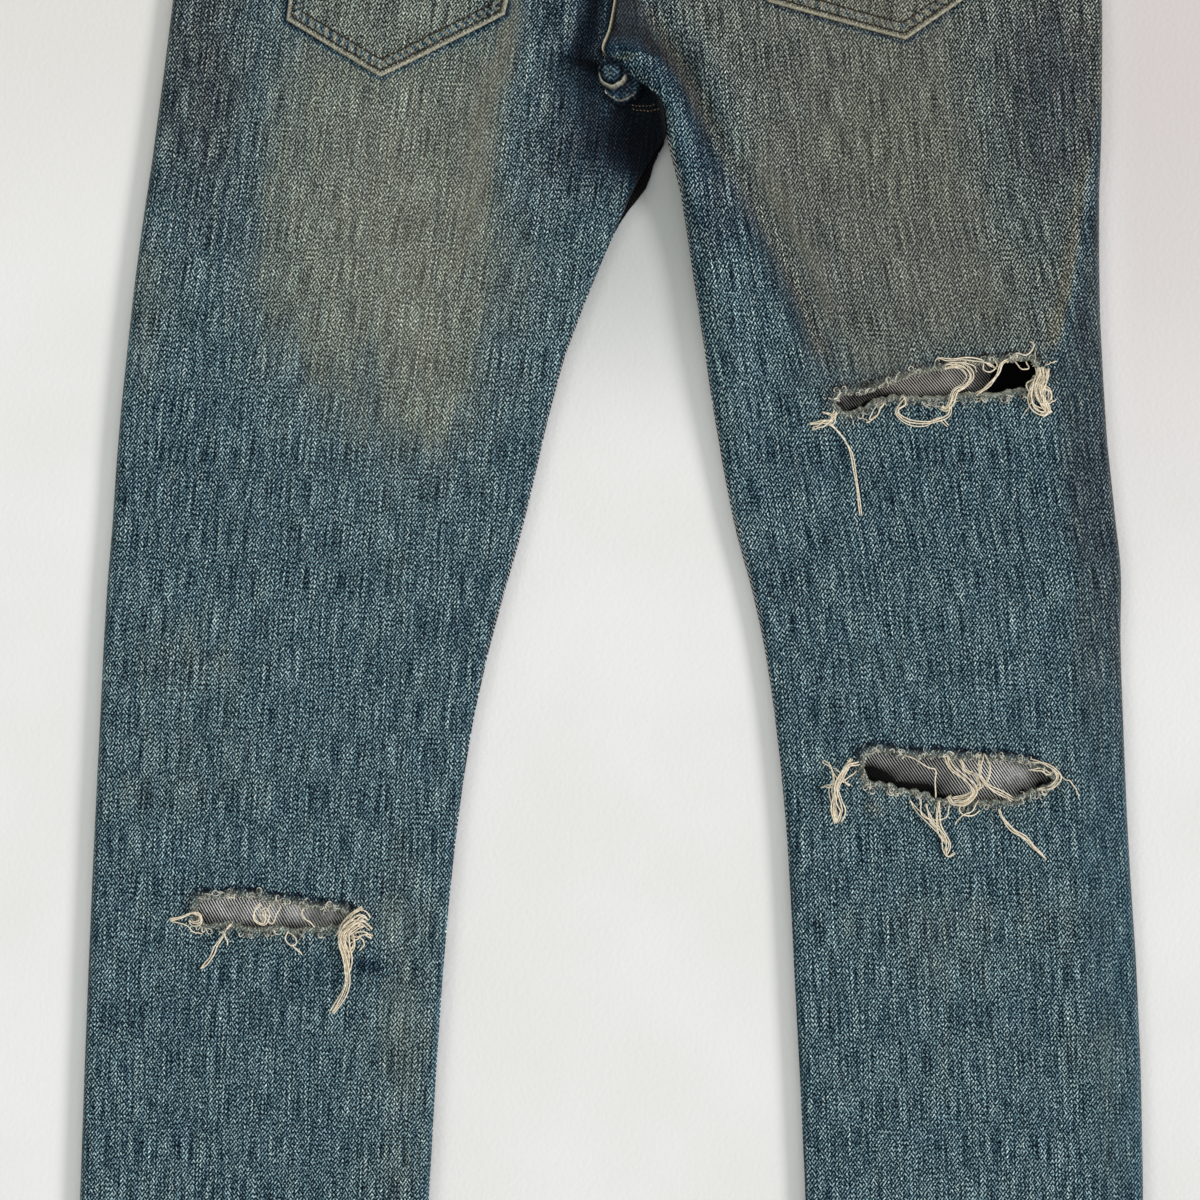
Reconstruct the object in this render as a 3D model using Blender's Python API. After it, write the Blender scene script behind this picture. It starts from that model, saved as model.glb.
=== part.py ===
"""Ripped slim jeans, laid flat with the back up. Run: blender --background --python part.py

Frame: +Z up, +Y towards the waist, +X towards the wearer's right. The jeans lie on z = 0 on
their front panels, and the origin is under the middle of their outline. Each piece that a maker
cuts and sews on is one object: a wall of cloth through sections worked out from the tables here.
"""

import math

import bpy
import numpy as np

MM = 0.001

# Driving sizes, in millimetres.
CLOTH = 1.1  # denim of about 13 oz
HEM_FOLD = 2.7  # the turned hem, at the edge of a leg
HEM_DEPTH = 13.0
BAND = 2.2  # the waistband, two layers of denim
BAND_HEIGHT = 40.0
SEAM_GAP = 0.3  # between pieces that meet at a seam
ON_TOP = 0.4  # between a panel and what is sewn on it
LENGTH = 1094.6  # from the highest point of the waistband to the hems
WAIST_HALF = 215.0  # half the waist, measured flat
WAIST_X = 12.0  # the middle of the waist
WAIST_TILT = 0.052  # the right hip lies a little higher than the left
SIDE_DROP = 8.0  # the back waist is lower at the side seams than in the middle
FRONT_DIP = 26.0  # the front waist is this much lower than the back, in the middle
YOKE_SIDE, YOKE_MIDDLE = 32.0, 68.0  # the yoke's height at the side seams and in the middle
FOLD = 7.0  # how far in from its edge a leg rounds over
EDGE_RISE = 1.0  # how far the front panels curl up at their seams
FLY_LAP = 18.0  # how far the left front laps over the right one at the fly
FLY_END = 375.0  # the foot of the fly

HEM_Y = -LENGTH / 2
WAIST_Y = LENGTH / 2 - 3.9  # the back waist's top edge, in the middle

# Sections of the legs, from the crotch down: height on the cloth, then the four edges across it.
LEGS = (
    # y, left side, left inner, right inner, right side
    (226.0, -249.4, 34.1, 34.1, 272.3),
    (216.7, -250.6, 24.8, 36.3, 272.0),
    (198.0, -253.6, 13.2, 40.6, 271.7),
    (154.0, -259.6, -6.1, 47.1, 271.7),
    (108.9, -264.6, -23.1, 53.9, 273.4),
    (64.9, -269.0, -34.7, 60.5, 276.1),
    (20.9, -271.9, -45.7, 69.9, 280.5),
    (-23.1, -275.6, -57.2, 80.9, 282.4),
    (-89.1, -278.9, -72.6, 91.9, 284.9),
    (-155.1, -282.2, -82.5, 99.0, 287.7),
    (-243.0, -286.0, -90.8, 104.0, 293.2),
    (-351.0, -289.9, -97.4, 109.5, 295.9),
    (HEM_Y, -296.0, -110.6, 115.5, 296.0),
)
# Sections of the hips, from the waist down to the crotch: the two side seams.
HIPS = (
    # y, left side, right side
    (548.0, -200.0, 227.0),
    (520.0, -203.5, 230.0),
    (484.0, -207.5, 236.0),
    (420.0, -221.0, 253.0),
    (360.0, -232.0, 266.5),
    (308.0, -238.7, 273.2),
    (270.0, -243.5, 272.9),
)
# The seam up the middle of the seat, then the rolled edge of the right leg at the crotch.
MIDDLE = (
    # y, x
    (548.0, 12.0),
    (440.0, 10.5),
    (370.0, 7.0),
    (308.0, 4.4),
    (288.0, 1.0),
    (275.5, -1.5),
    (271.5, 5.0),
    (267.5, 15.0),
    (261.0, 24.0),
    (251.0, 30.3),
    (238.0, 32.5),
)
# How high the back lies along the legs' middles.
CROWN = (
    # y, z
    (548.0, 6.2),
    (300.0, 6.2),
    (226.0, 6.1),
    (-120.0, 6.0),
    (-350.0, 6.0),
    (-500.0, 6.4),
    (HEM_Y, 7.3),
)
# Where the rows of the leg panels cross their inner edge, besides the top and bottom ones.
ROWS = (455.0, 425.0, 402.0, 380.0, 355.0, 330.0, 308.0, 290.0, 276.0, 270.0, 263.0, 251.0)
ROWS += (238.0, 226.0, 212.0, 196.0)
ROWS += (170.0, 140.0, 108.0, 75.0, 42.0, 10.0, -22.0, -55.0, -90.0, -125.0, -160.0, -195.0)
ROWS += (-235.0, -290.0, -350.0, -410.0, -470.0, -515.0, HEM_Y + HEM_DEPTH + 3, HEM_Y + HEM_DEPTH)

# The rips: each is a slit across the leg that gapes. Points run from its left end to its right.
RIPS = {
    "thigh_rip": {
        "panel": "back_right",
        "upper": ((125.5, 82.0), (130.0, 89.5), (148.0, 92.0), (163.0, 99.5), (179.0, 104.5))
        + ((209.0, 108.8), (236.0, 108.6)),
        "lower": ((239.5, 101.0), (233.0, 93.0), (217.0, 91.0), (190.0, 89.6), (162.0, 89.0))
        + ((147.0, 85.0), (132.0, 80.6)),
    },
    "knee_rip_right": {
        "panel": "back_right",
        "upper": ((139.0, -111.5), (150.0, -106.0), (167.0, -106.5), (186.0, -107.2))
        + ((204.0, -109.5), (222.0, -111.5), (236.0, -110.5), (244.0, -113.5)),
        "lower": ((247.0, -119.5), (240.0, -123.0), (222.0, -129.5), (200.0, -132.0))
        + ((182.0, -129.5), (166.0, -128.5), (152.0, -122.5), (141.0, -120.0)),
    },
    "knee_rip_left": {
        "panel": "back_left",
        "upper": ((-236.0, -192.0), (-224.0, -188.0), (-208.0, -183.8), (-192.0, -183.0))
        + ((-178.0, -187.5), (-163.0, -188.8), (-148.0, -189.5), (-141.5, -191.5)),
        "lower": ((-143.0, -199.0), (-150.0, -202.2), (-163.0, -204.0), (-176.0, -202.5))
        + ((-192.0, -202.0), (-205.0, -200.0), (-222.0, -200.5), (-234.0, -198.0)),
    },
}

# The back pockets: the tip on the panel, then the other corners, measured from the tip.
POCKETS = {
    "pocket_left": {
        "tip": (-121.8, 264.8),
        "low": ((-51.6, 31.4), (68.4, 34.1)),
        "top": ((-34.0, 163.0), (98.0, 159.0)),
    },
    "pocket_right": {
        "tip": (166.6, 285.2),
        "low": ((-75.9, 20.9), (50.1, 34.8)),
        "top": ((-104.0, 152.0), (33.0, 165.0)),
    },
}
POCKET_CLOTH = 1.2

LOOP_WIDTH, LOOP_THICK, LOOP_BELOW = 11.0, 1.8, 9.0
BACK_LOOPS = {"loop_back_left": -112.0, "loop_back_middle": 0.0, "loop_back_right": 112.0}
FRONT_LOOPS = {"loop_front_left": -88.0, "loop_front_right": 88.0}

BUTTON_RADIUS, BUTTON_HEAD, SHANK_RADIUS = 8.5, 2.8, 4.0
BAND_LAP = 18.0  # how far each end of the waistband laps past the middle of the front

NEAR_EDGE = (0.0, 1.2, 3.6, 8.5)  # where a panel's columns lie beside its edge

PATCH = {"low": (192.0, 62.0), "high": (262.0, 128.0), "lean": 16.0}  # behind the thigh rip


def through(points, column=1):
    """A smooth curve through a table's rows, as a function of its first column."""
    rows = sorted(points)
    at = np.array([r[0] for r in rows])
    value = np.array([r[column] for r in rows])
    step = np.diff(value) / np.diff(at)
    inner = np.where(step[:-1] * step[1:] > 0, (step[:-1] + step[1:]) / 2, 0.0)
    limit = 3 * np.minimum(abs(step[:-1]), abs(step[1:]))
    slope = np.concatenate([step[:1], np.clip(inner, -limit, limit), step[-1:]])

    def curve(y):
        y = np.clip(y, at[0], at[-1])
        i = np.clip(np.searchsorted(at, y) - 1, 0, len(at) - 2)
        width = at[i + 1] - at[i]
        t = (y - at[i]) / width
        return (
            (2 * t**3 - 3 * t**2 + 1) * value[i]
            + (t**3 - 2 * t**2 + t) * width * slope[i]
            + (3 * t**2 - 2 * t**3) * value[i + 1]
            + (t**3 - t**2) * width * slope[i + 1]
        )

    return curve


def leg_edge(column, hips=None):
    """An edge of a leg from the waist to the hem, from the legs' table and the hips' or the middle's."""
    above = [(r[0], r[hips]) for r in HIPS] if hips else list(MIDDLE)
    return through(above + [(r[0], r[column]) for r in LEGS])


EDGES = {
    "left": {"side": leg_edge(1, hips=1), "inner": leg_edge(2)},
    "right": {"side": leg_edge(4, hips=2), "inner": leg_edge(3)},
}
crown = through(CROWN)


def ease(value, low, high):
    """0 up to low, 1 from high on, smooth between."""
    t = np.clip((value - low) / (high - low), 0.0, 1.0)
    return t * t * (3 - 2 * t)


def across(x):
    """How far x lies from the middle of the waist, as a share of half its width."""
    return (x - WAIST_X) / WAIST_HALF


def waist_top(x, front=False):
    """The waistband's top edge."""
    s = across(x)
    dip = FRONT_DIP * (1 - s * s) if front else 0.0
    return WAIST_Y + WAIST_TILT * (x - WAIST_X) - SIDE_DROP * s * s - dip


def waist_seam(x, front=False):
    """The waistband's lower edge."""
    return waist_top(x, front) - BAND_HEIGHT


def yoke_seam(x):
    """The seam between a yoke and the panel under it, lowest in the middle."""
    return waist_seam(x) - YOKE_SIDE - (YOKE_MIDDLE - YOKE_SIDE) * (1 - np.minimum(abs(across(x)), 1))


def band_height(x, front=False):
    """The height of the waistband's outer face."""
    s = np.minimum(abs(across(x)), 1)
    return 4.6 - 3.1 * s * s if front else 12.4 - 2.9 * s * s


def fly_rise(x, y):
    """How far the right front is held up by the left one, which laps over it at the fly."""
    layers = (CLOTH + ON_TOP) * ease(y, 290.0, FLY_END - 15.0)
    layers = layers + (BAND - CLOTH) * ease(y, 440.0, 480.0)
    return layers * (1 - ease(x - WAIST_X, 40.0, 120.0))


def rounded(distance, radius=FOLD):
    """1 at an edge, falling to 0 at radius, as a quarter of a circle does."""
    t = 1 - np.clip(distance / radius, 0.0, 1.0)
    return 1 - np.sqrt(1 - t * t)


def layers_at(y):
    """The thickness of one panel: cloth, or the turned hem at a leg's end."""
    return CLOTH + (HEM_FOLD - CLOTH) * (1 - ease(y, HEM_Y + HEM_DEPTH, HEM_Y + HEM_DEPTH + 3))


def front_height(side, x, y):
    """The height of the outer face of the front, which is the underside."""
    edges = EDGES[side]
    low = (band_height(x, front=True) + BAND - CLOTH) * ease(y, 360.0, 470.0)
    if side == "right":
        low = low + fly_rise(x, y)
    is_leg = 1 - ease(y, 224.0, 236.0)
    up = np.maximum(
        rounded(abs(x - edges["side"](y)), 6.0), is_leg * rounded(abs(edges["inner"](y) - x), 6.0)
    )
    return low + EDGE_RISE * up


def back_height(side, x, y):
    """The height of the outer face of the back, and of the yoke."""
    edges = EDGES[side]
    from_side = abs(x - edges["side"](y))
    from_inner = abs(edges["inner"](y) - x)
    at_waist = ease(y, 385.0, 480.0)
    top = crown(y) + (band_height(x) - BAND + CLOTH - crown(y)) * at_waist
    seam = front_height(side, edges["side"](y), y) + 2 * layers_at(y) + SEAM_GAP
    is_leg = 1 - ease(y, 224.0, 236.0)
    if side == "right":
        # The inner thigh rolls over at the crotch and stands above the left leg.
        roll = ease(y, 150.0, 235.0) * (1 - ease(y, 268.0, 330.0))
        top = top + 8.0 * roll * np.exp(-((from_inner / 34.0) ** 2))
        is_leg = np.maximum(is_leg, ease(y, 150.0, 235.0) * (1 - ease(y, 268.0, 276.0)))
        seam = seam + 3.0 * roll
    else:
        # The left leg dips towards the crotch.
        dip = ease(y, 150.0, 230.0) * (1 - ease(y, 290.0, 350.0))
        top = top - 1.8 * dip * np.exp(-((from_inner / 30.0) ** 2))
    down = np.maximum(rounded(from_side), is_leg * rounded(from_inner))
    return top - (top - np.minimum(seam, top)) * down


def material(name, color, roughness, metallic=0.0):
    """A plain Principled material."""
    made = bpy.data.materials.new(name)
    made.use_nodes = True
    shader = made.node_tree.nodes["Principled BSDF"]
    shader.inputs["Base Color"].default_value = (*color, 1.0)
    shader.inputs["Roughness"].default_value = roughness
    shader.inputs["Metallic"].default_value = metallic
    return made


def wall(name, points, finish, thickness=CLOTH, thick_rows=0, thick=None):
    """A wall of cloth from a grid of points on its outer face, in rows from top to bottom.

    The cloth lies behind the face as seen with rows going down and columns going right. The last
    thick_rows rows of it are thick, as a turned hem is.
    """
    count, width = points.shape[:2]
    mesh = bpy.data.meshes.new(name)
    index = np.arange(count * width).reshape(count, width)
    faces = np.stack([index[:-1, :-1], index[1:, :-1], index[1:, 1:], index[:-1, 1:]], axis=-1)
    mesh.from_pydata((points.reshape(-1, 3) * MM).tolist(), [], faces.reshape(-1, 4).tolist())
    made = bpy.data.objects.new(name, mesh)
    bpy.context.scene.collection.objects.link(made)
    mesh.materials.append(finish)
    mesh.shade_smooth()
    layers = made.modifiers.new("thickness", "SOLIDIFY")
    layers.thickness = (thick or thickness) * MM
    layers.offset = -1.0
    if thick_rows:
        weights = made.vertex_groups.new(name="layers")
        weights.add(list(range(count * width)), thickness / thick, "REPLACE")
        weights.add(index[-thick_rows:].reshape(-1).tolist(), 1.0, "REPLACE")
        layers.vertex_group = "layers"
    return made


def columns(left, right, inside=5):
    """Places across a panel as distances from its left edge, close together where it rounds over."""
    width = right - left
    near = np.array(NEAR_EDGE)
    between = np.linspace(near[-1], width - near[-1], inside + 2)[1:-1]
    return left + np.concatenate([near, between, width - near[::-1]])


def leg_grid(side, top_line, height, top_inner, fly=False):
    """Points of a leg panel: rows from its top seam to the hem, columns from left to right."""
    edges = EDGES[side]
    levels = [top_inner, *(y for y in ROWS if y < top_inner - 12), HEM_Y]
    rows = []
    for level in levels:
        share = (level - HEM_Y) / (top_inner - HEM_Y)
        inner = float(edges["inner"](level))
        outer_y = level
        for _ in range(4):
            outer = float(edges["side"](outer_y))
            outer_y = HEM_Y + (float(top_line(outer)) - HEM_Y) * share
        gap = SEAM_GAP / 2
        if fly:
            gap = gap - FLY_LAP * float(ease(level, FLY_END - 15.0, FLY_END))
        low, high = (outer, inner - gap) if side == "left" else (inner + gap, outer)
        x = columns(low, high)
        y = HEM_Y + (top_line(x) - HEM_Y) * share
        rows.append(np.stack([x, y, height(side, x, y)], axis=-1))
    return np.array(rows)


def cut(target, name, outline, low, high):
    """Cuts a flat outline, its points in clockwise order, right through an object."""
    n = len(outline)
    points = [(x * MM, y * MM, z * MM) for z in (low, high) for x, y in reversed(outline)]
    sides = [(i, (i + 1) % n, n + (i + 1) % n, n + i) for i in range(n)]
    mesh = bpy.data.meshes.new(name)
    mesh.from_pydata(points, [], [tuple(range(n))[::-1], tuple(range(n, 2 * n)), *sides])
    cutter = bpy.data.objects.new(name, mesh)
    bpy.context.scene.collection.objects.link(cutter)
    cutter.hide_render = True
    cutter.display_type = "WIRE"
    opening = target.modifiers.new(name, "BOOLEAN")
    opening.operation = "DIFFERENCE"
    opening.object = cutter


def leg_panels(denim):
    """The two back panels, with their rips, and the two front ones."""
    made = {}
    for side in EDGES:
        name = "back_" + side
        middle = float(yoke_seam(EDGES[side]["inner"](440.0))) - SEAM_GAP / 2
        grid = leg_grid(side, lambda x: yoke_seam(x) - SEAM_GAP / 2, back_height, middle)
        made[name] = wall(name, grid, denim, thick_rows=2, thick=HEM_FOLD)

        name = "front_" + side
        middle = float(waist_seam(WAIST_X, front=True)) - SEAM_GAP / 2
        top = lambda x: waist_seam(x, front=True) - SEAM_GAP / 2
        grid = leg_grid(side, top, front_height, middle, fly=side == "left")
        made[name] = wall(name, grid[:, ::-1], denim, thick_rows=2, thick=HEM_FOLD)
    for name, rip in RIPS.items():
        cut(made[rip["panel"]], name, list(rip["upper"]) + list(rip["lower"]), -5.0, 30.0)


def yokes(denim):
    """The two shaped pieces between the waistband and the back panels."""
    for side in EDGES:
        edges = EDGES[side]
        rows = []
        for share in np.linspace(0, 1, 5):

            def line(x, share=share):
                high = waist_seam(x) - SEAM_GAP
                return high + (yoke_seam(x) + SEAM_GAP / 2 - high) * share

            inner = float(edges["inner"](450.0))
            outer_y = 470.0
            for _ in range(4):
                outer = float(edges["side"](outer_y))
                outer_y = float(line(outer))
            gap = SEAM_GAP / 2
            low, high = (outer, inner - gap) if side == "left" else (inner + gap, outer)
            x = columns(low, high)
            y = line(x)
            rows.append(np.stack([x, y, back_height(side, x, y)], axis=-1))
        wall("yoke_" + side, np.array(rows), denim)


def side_turn(edge, out):
    """The waistband's half turn round a side, up from the front's height to the back's."""
    low, high = band_height(edge, front=True), band_height(edge)
    radius = (high - low) / 2
    bend = np.radians(np.linspace(-90, 90, 7))
    return [(edge + out * radius * (np.cos(a) - 1), low + radius * (1 + np.sin(a)), False) for a in bend]


def waistband(denim):
    """One strip, from its end at the fly round the left side, the back and the right side."""
    left, right = WAIST_X - WAIST_HALF, WAIST_X + WAIST_HALF
    path = [
        (x, band_height(x, front=True), True)
        for x in np.linspace(WAIST_X + BAND_LAP, left + 12.0, 9)
    ]
    path += side_turn(left, -1)
    path += [(x, band_height(x), False) for x in np.linspace(left + 12.0, right - 12.0, 13)]
    path += side_turn(right, 1)[::-1]
    path += [
        (x, band_height(x, front=True) + fly_rise(x, 500.0), True)
        for x in np.linspace(right - 12.0, WAIST_X - BAND_LAP, 9)
    ]
    rows = [[(x, waist_top(x, front) - drop, z) for x, z, front in path] for drop in (0, BAND_HEIGHT)]
    wall("waistband", np.array(rows), denim, thickness=BAND)


def back_pockets(denim):
    """The two patch pockets, laid on the back panels' own faces."""
    for name, pocket in POCKETS.items():
        side = name.split("_")[1]
        (low_left, low_right), (top_left, top_right) = np.array(pocket["low"]), pocket["top"]
        rows = []
        for share in np.linspace(1, 0, 7):
            row = []
            for place in np.linspace(-1, 1, 9):
                low = (low_left if place < 0 else low_right) * abs(place)
                top = np.array(top_left) * (1 - place) / 2 + np.array(top_right) * (1 + place) / 2
                row.append(low + (top - low) * share)
            x, y = (np.array(row) + pocket["tip"]).T
            z = back_height(side, x, y) + ON_TOP + POCKET_CLOTH
            rows.append(np.stack([x, y, z], axis=-1))
        wall(name, np.array(rows), denim, thickness=POCKET_CLOTH)


def belt_loops(denim):
    """Five loops over the waistband, three at the back and two at the front."""
    for name, offset in {**BACK_LOOPS, **FRONT_LOOPS}.items():
        front = name in FRONT_LOOPS
        middle = WAIST_X + offset
        x = middle + np.array([-0.5, 0.5]) * LOOP_WIDTH
        rows = []
        for share in np.linspace(0, 1, 5):
            top = waist_top(x, front) + 1.0
            y = top - (BAND_HEIGHT + LOOP_BELOW + 1.0) * share
            away = ON_TOP + LOOP_THICK
            side = "left" if offset < 0 else "right"
            if front:
                band = band_height(x, front) + (fly_rise(x, 500.0) if offset > 0 else 0.0)
                z = np.minimum(band, front_height(side, x, y)) - away
            else:
                z = np.maximum(band_height(x), back_height(side, x, y)) + away
            rows.append(np.stack([x, y, z], axis=-1))
        grid = np.array(rows)
        wall(name, grid[:, ::-1] if front else grid, denim, thickness=LOOP_THICK)


def button(metal):
    """The button on the waistband, its head and shank turned as one piece, facing the floor."""
    steps = 24
    level = float(band_height(WAIST_X, front=True)) - SEAM_GAP
    low = level - 1.2 - BUTTON_HEAD
    profile = (
        (BUTTON_RADIUS - 1.0, low),
        (BUTTON_RADIUS, low + 0.8),
        (BUTTON_RADIUS - 0.6, low + BUTTON_HEAD),
        (SHANK_RADIUS, low + BUTTON_HEAD),
        (SHANK_RADIUS, level),
    )
    y = float(waist_top(WAIST_X, front=True)) - BAND_HEIGHT / 2
    points = [
        (
            (WAIST_X + r * math.cos(2 * math.pi * i / steps)) * MM,
            (y + r * math.sin(2 * math.pi * i / steps)) * MM,
            z * MM,
        )
        for r, z in profile
        for i in range(steps)
    ]
    faces = [tuple(range(steps))[::-1], tuple(range(len(points) - steps, len(points)))]
    for ring in range(len(profile) - 1):
        for i in range(steps):
            a, b = ring * steps + i, ring * steps + (i + 1) % steps
            faces.append((a, b, b + steps, a + steps))
    mesh = bpy.data.meshes.new("button")
    mesh.from_pydata(points, [], faces)
    mesh.materials.append(metal)
    made = bpy.data.objects.new("button", mesh)
    bpy.context.scene.collection.objects.link(made)


def patch(cloth):
    """The dark cloth sewn inside the right front, which shows through the thigh rip."""
    (x0, y0), (x1, y1) = PATCH["low"], PATCH["high"]
    rows = []
    for y in np.linspace(y1, y0, 3):
        lean = PATCH["lean"] * (y - y0) / (y1 - y0)
        x = np.linspace(x0 + lean, x1, 4)
        z = np.full(4, CLOTH + ON_TOP + 1.0)
        rows.append(np.stack([x, np.full(4, y), z], axis=-1))
    wall("patch_inside_right", np.array(rows), cloth, thickness=1.0)


def main():
    for old in list(bpy.data.objects):
        bpy.data.objects.remove(old)
    denim = material("denim", (0.065, 0.105, 0.125), 0.85)
    dark = material("dark_cloth", (0.012, 0.012, 0.014), 0.9)
    metal = material("button_metal", (0.42, 0.36, 0.29), 0.45, metallic=1.0)
    leg_panels(denim)
    yokes(denim)
    waistband(denim)
    back_pockets(denim)
    belt_loops(denim)
    patch(dark)
    button(metal)


main()
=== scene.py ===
"""The looks of the ripped jeans: cloth, dye, seams, stitches, frayed rips and loose threads."""

import math

import bpy
import numpy as np
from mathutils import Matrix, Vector


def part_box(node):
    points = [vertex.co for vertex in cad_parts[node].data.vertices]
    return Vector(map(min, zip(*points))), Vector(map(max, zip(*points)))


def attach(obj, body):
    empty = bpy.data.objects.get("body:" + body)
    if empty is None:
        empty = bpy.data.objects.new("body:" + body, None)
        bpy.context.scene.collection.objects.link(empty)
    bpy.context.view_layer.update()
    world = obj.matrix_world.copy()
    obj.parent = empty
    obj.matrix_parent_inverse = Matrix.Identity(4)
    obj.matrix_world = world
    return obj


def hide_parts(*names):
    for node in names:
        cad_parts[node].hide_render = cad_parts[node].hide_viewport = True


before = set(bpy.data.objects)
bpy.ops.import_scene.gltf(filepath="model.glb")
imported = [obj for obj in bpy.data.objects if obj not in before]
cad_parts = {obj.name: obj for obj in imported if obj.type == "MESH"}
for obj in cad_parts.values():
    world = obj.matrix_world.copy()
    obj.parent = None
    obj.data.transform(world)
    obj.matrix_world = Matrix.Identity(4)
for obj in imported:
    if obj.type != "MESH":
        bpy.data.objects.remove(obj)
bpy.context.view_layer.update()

# Thicknesses and other measures of the cloth, in metres, which is the unit wherever none is named.
CLOTH = 0.0011
POCKET_CLOTH = 0.0012
BAND = 0.0022
HEM_FOLD = 0.0027
HEM_DEPTH = 0.013
SEAM_GAP = 0.0003
TWILL_PITCH, TWILL_LEAN = 0.00186, 0.70
WRONG_PITCH, WRONG_LEAN = 0.00168, -0.62  # the ribs on the inside of the cloth
FLOAT_LENGTH = 0.0008
# Topstitching: one stitch, then how far the twin rows are in from their seam or edge.
STITCH_PITCH, STITCH_LENGTH, STITCH_WIDTH = 0.0032, 0.0030, 0.0007
RISE_ROWS = (0.0020, 0.0075)
YOKE_ROWS = (0.0022, 0.0078)
MOUTH_ROWS = (0.0024, 0.0080)
HEM_ROW = 0.0105
BAND_ROW = 0.0032
LOOP_ROW = 0.0029  # out from a loop's middle
SIDES = ("left", "right")
LIE = 0.0023  # how far to the right of its solid the cloth settled

band_low, band_high = (np.array(v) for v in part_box("waistband"))
WAIST_X = (band_low[0] + band_high[0]) / 2
WAIST_HALF = (band_high[0] - band_low[0]) / 2
WAIST_Y = 0.5434
WAIST_TILT = 0.052  # the waist's slope: it lies a little askew
SIDE_DROP, FRONT_DIP = 0.008, 0.026  # how far it is lower at the sides, and in the middle of the front
BAND_HEIGHT = 0.040
BAND_LAP = 0.018
YOKE_SIDE, YOKE_MIDDLE = 0.032, 0.068
YOKE_WIDTH, PANEL_WIDTH = 0.220, 0.235  # typical ones, which set how many columns a grid has
RISE_TOP = 0.425  # how far up the seam in the middle of the seat is followed
HEM_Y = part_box("front_left")[0][1]


# ---------------------------------------------------------------- shapes that the pieces share


def ease(value, low, high):
    """0 up to low, 1 from high on, smooth between."""
    t = np.clip((value - low) / (high - low), 0.0, 1.0)
    return t * t * (3 - 2 * t)


def fall(value, low, high):
    """1 up to low, 0 from high on, smooth between."""
    return 1 - ease(value, low, high)


def bell(distance, width):
    """1 in the middle, falling to a third at width."""
    return np.exp(-((distance / width) ** 2))


def wander(value, *waves):
    """A smooth irregular line: a sum of sines, each (height, length, start)."""
    return sum(h * np.sin(2 * math.pi * value / length + start) for h, length, start in waves)


def mm(*values):
    """Points, given as x and y in turn, in millimetres."""
    metres = [round(v / 1000, 6) for v in values]
    return tuple(zip(metres[::2], metres[1::2], strict=True))


def blob(x, y, cx, cy, rx, ry):
    return np.exp(-(((x - cx) / rx) ** 2) - (((y - cy) / ry) ** 2))


def patches(table, x, y, start=0.0):
    """Soft round patches added up: each one's middle and reach in millimetres, then its amount."""
    total = start + 0.0 * x
    for *place, amount in table:
        total = total + amount * blob(x, y, *(v / 1000 for v in place))
    return total


def beside(x, y, path):
    """Distance from a line through points and the share of its length, positive to the left of its run.

    For a line that runs down a leg that is towards the right of the picture.
    """
    points = np.array(path)
    lengths = np.linalg.norm(np.diff(points, axis=0), axis=1)
    starts = np.concatenate([[0], np.cumsum(lengths)])
    best = np.full(np.shape(x), 9.0)
    signed, share = np.zeros(np.shape(x)), np.zeros(np.shape(x))
    for a, b, length, start in zip(points[:-1], points[1:], lengths, starts, strict=False):
        step = (b - a) / length
        along = np.clip((x - a[0]) * step[0] + (y - a[1]) * step[1], 0, length)
        dx, dy = x - a[0] - step[0] * along, y - a[1] - step[1] * along
        far = np.hypot(dx, dy)
        side = np.where(dy * step[0] - dx * step[1] >= 0, 1.0, -1.0)
        nearer = far < best
        best = np.where(nearer, far, best)
        signed = np.where(nearer, side * far, signed)
        share = np.where(nearer, (start + along) / starts[-1], share)
    return signed, share


class Outline:
    """The left and right edges of a flat-lying node, read from its own solid at each height."""

    def __init__(self, node, smooth=0.004):
        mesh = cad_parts[node].data
        points = np.array([v.co for v in mesh.vertices])
        ends = points[np.array([e.vertices for e in mesh.edges])]
        low, high = points[:, 1].min(), points[:, 1].max()
        self.y = np.arange(low + 0.0005, high, 0.001)
        edges = []
        a, b = ends[:, 0], ends[:, 1]
        for y in self.y:
            cross = (a[:, 1] - y) * (b[:, 1] - y) < 0
            t = (y - a[cross, 1]) / (b[cross, 1] - a[cross, 1])
            x = a[cross, 0] + t * (b[cross, 0] - a[cross, 0])
            edges.append((x.min(), x.max()))
        reach = int(smooth * 3 / 0.001)
        kernel = bell(np.arange(-reach, reach + 1) * 0.001, smooth * 1.4)
        kernel /= kernel.sum()
        padded = np.pad(np.array(edges), ((reach, reach), (0, 0)), mode="reflect", reflect_type="odd")
        self.left, self.right = (np.convolve(padded[:, i], kernel, "valid") + LIE for i in (0, 1))

    def at(self, y):
        return np.interp(y, self.y, self.left), np.interp(y, self.y, self.right)


LEG = {"left": Outline("front_left"), "right": Outline("front_right")}
SEAT = {"left": Outline("back_left"), "right": Outline("back_right")}


def side_edge(side, y):
    """The outer side seam of a leg, and of the hip above it."""
    if side == "left":
        return LEG[side].at(y)[0]
    return LEG[side].at(y)[1] + 0.0018 * bell(y + 0.008, 0.026)


def inner_edge(side, y):
    """The inner edge of a leg, and the seam up the middle of the seat above it."""
    y = np.minimum(y, RISE_TOP)
    tucked = 0.0038 * bell(y - 0.2750, 0.0085)
    if side == "left":
        return SEAT[side].at(y)[1] - tucked + 0.0014 * bell(y - 0.018, 0.046)
    y = y + 0.0030 * ease(y, 0.190, 0.240) * fall(y, 0.262, 0.272)
    tucked = tucked + 0.0040 * bell(y - 0.2600, 0.0085)
    return SEAT[side].at(y)[0] - tucked - 0.0022 * bell(y - 0.008, 0.042)


def from_edges(side, x, y):
    """Distances from the side seam and from the inner edge."""
    return abs(x - side_edge(side, y)), abs(inner_edge(side, y) - x)


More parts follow.
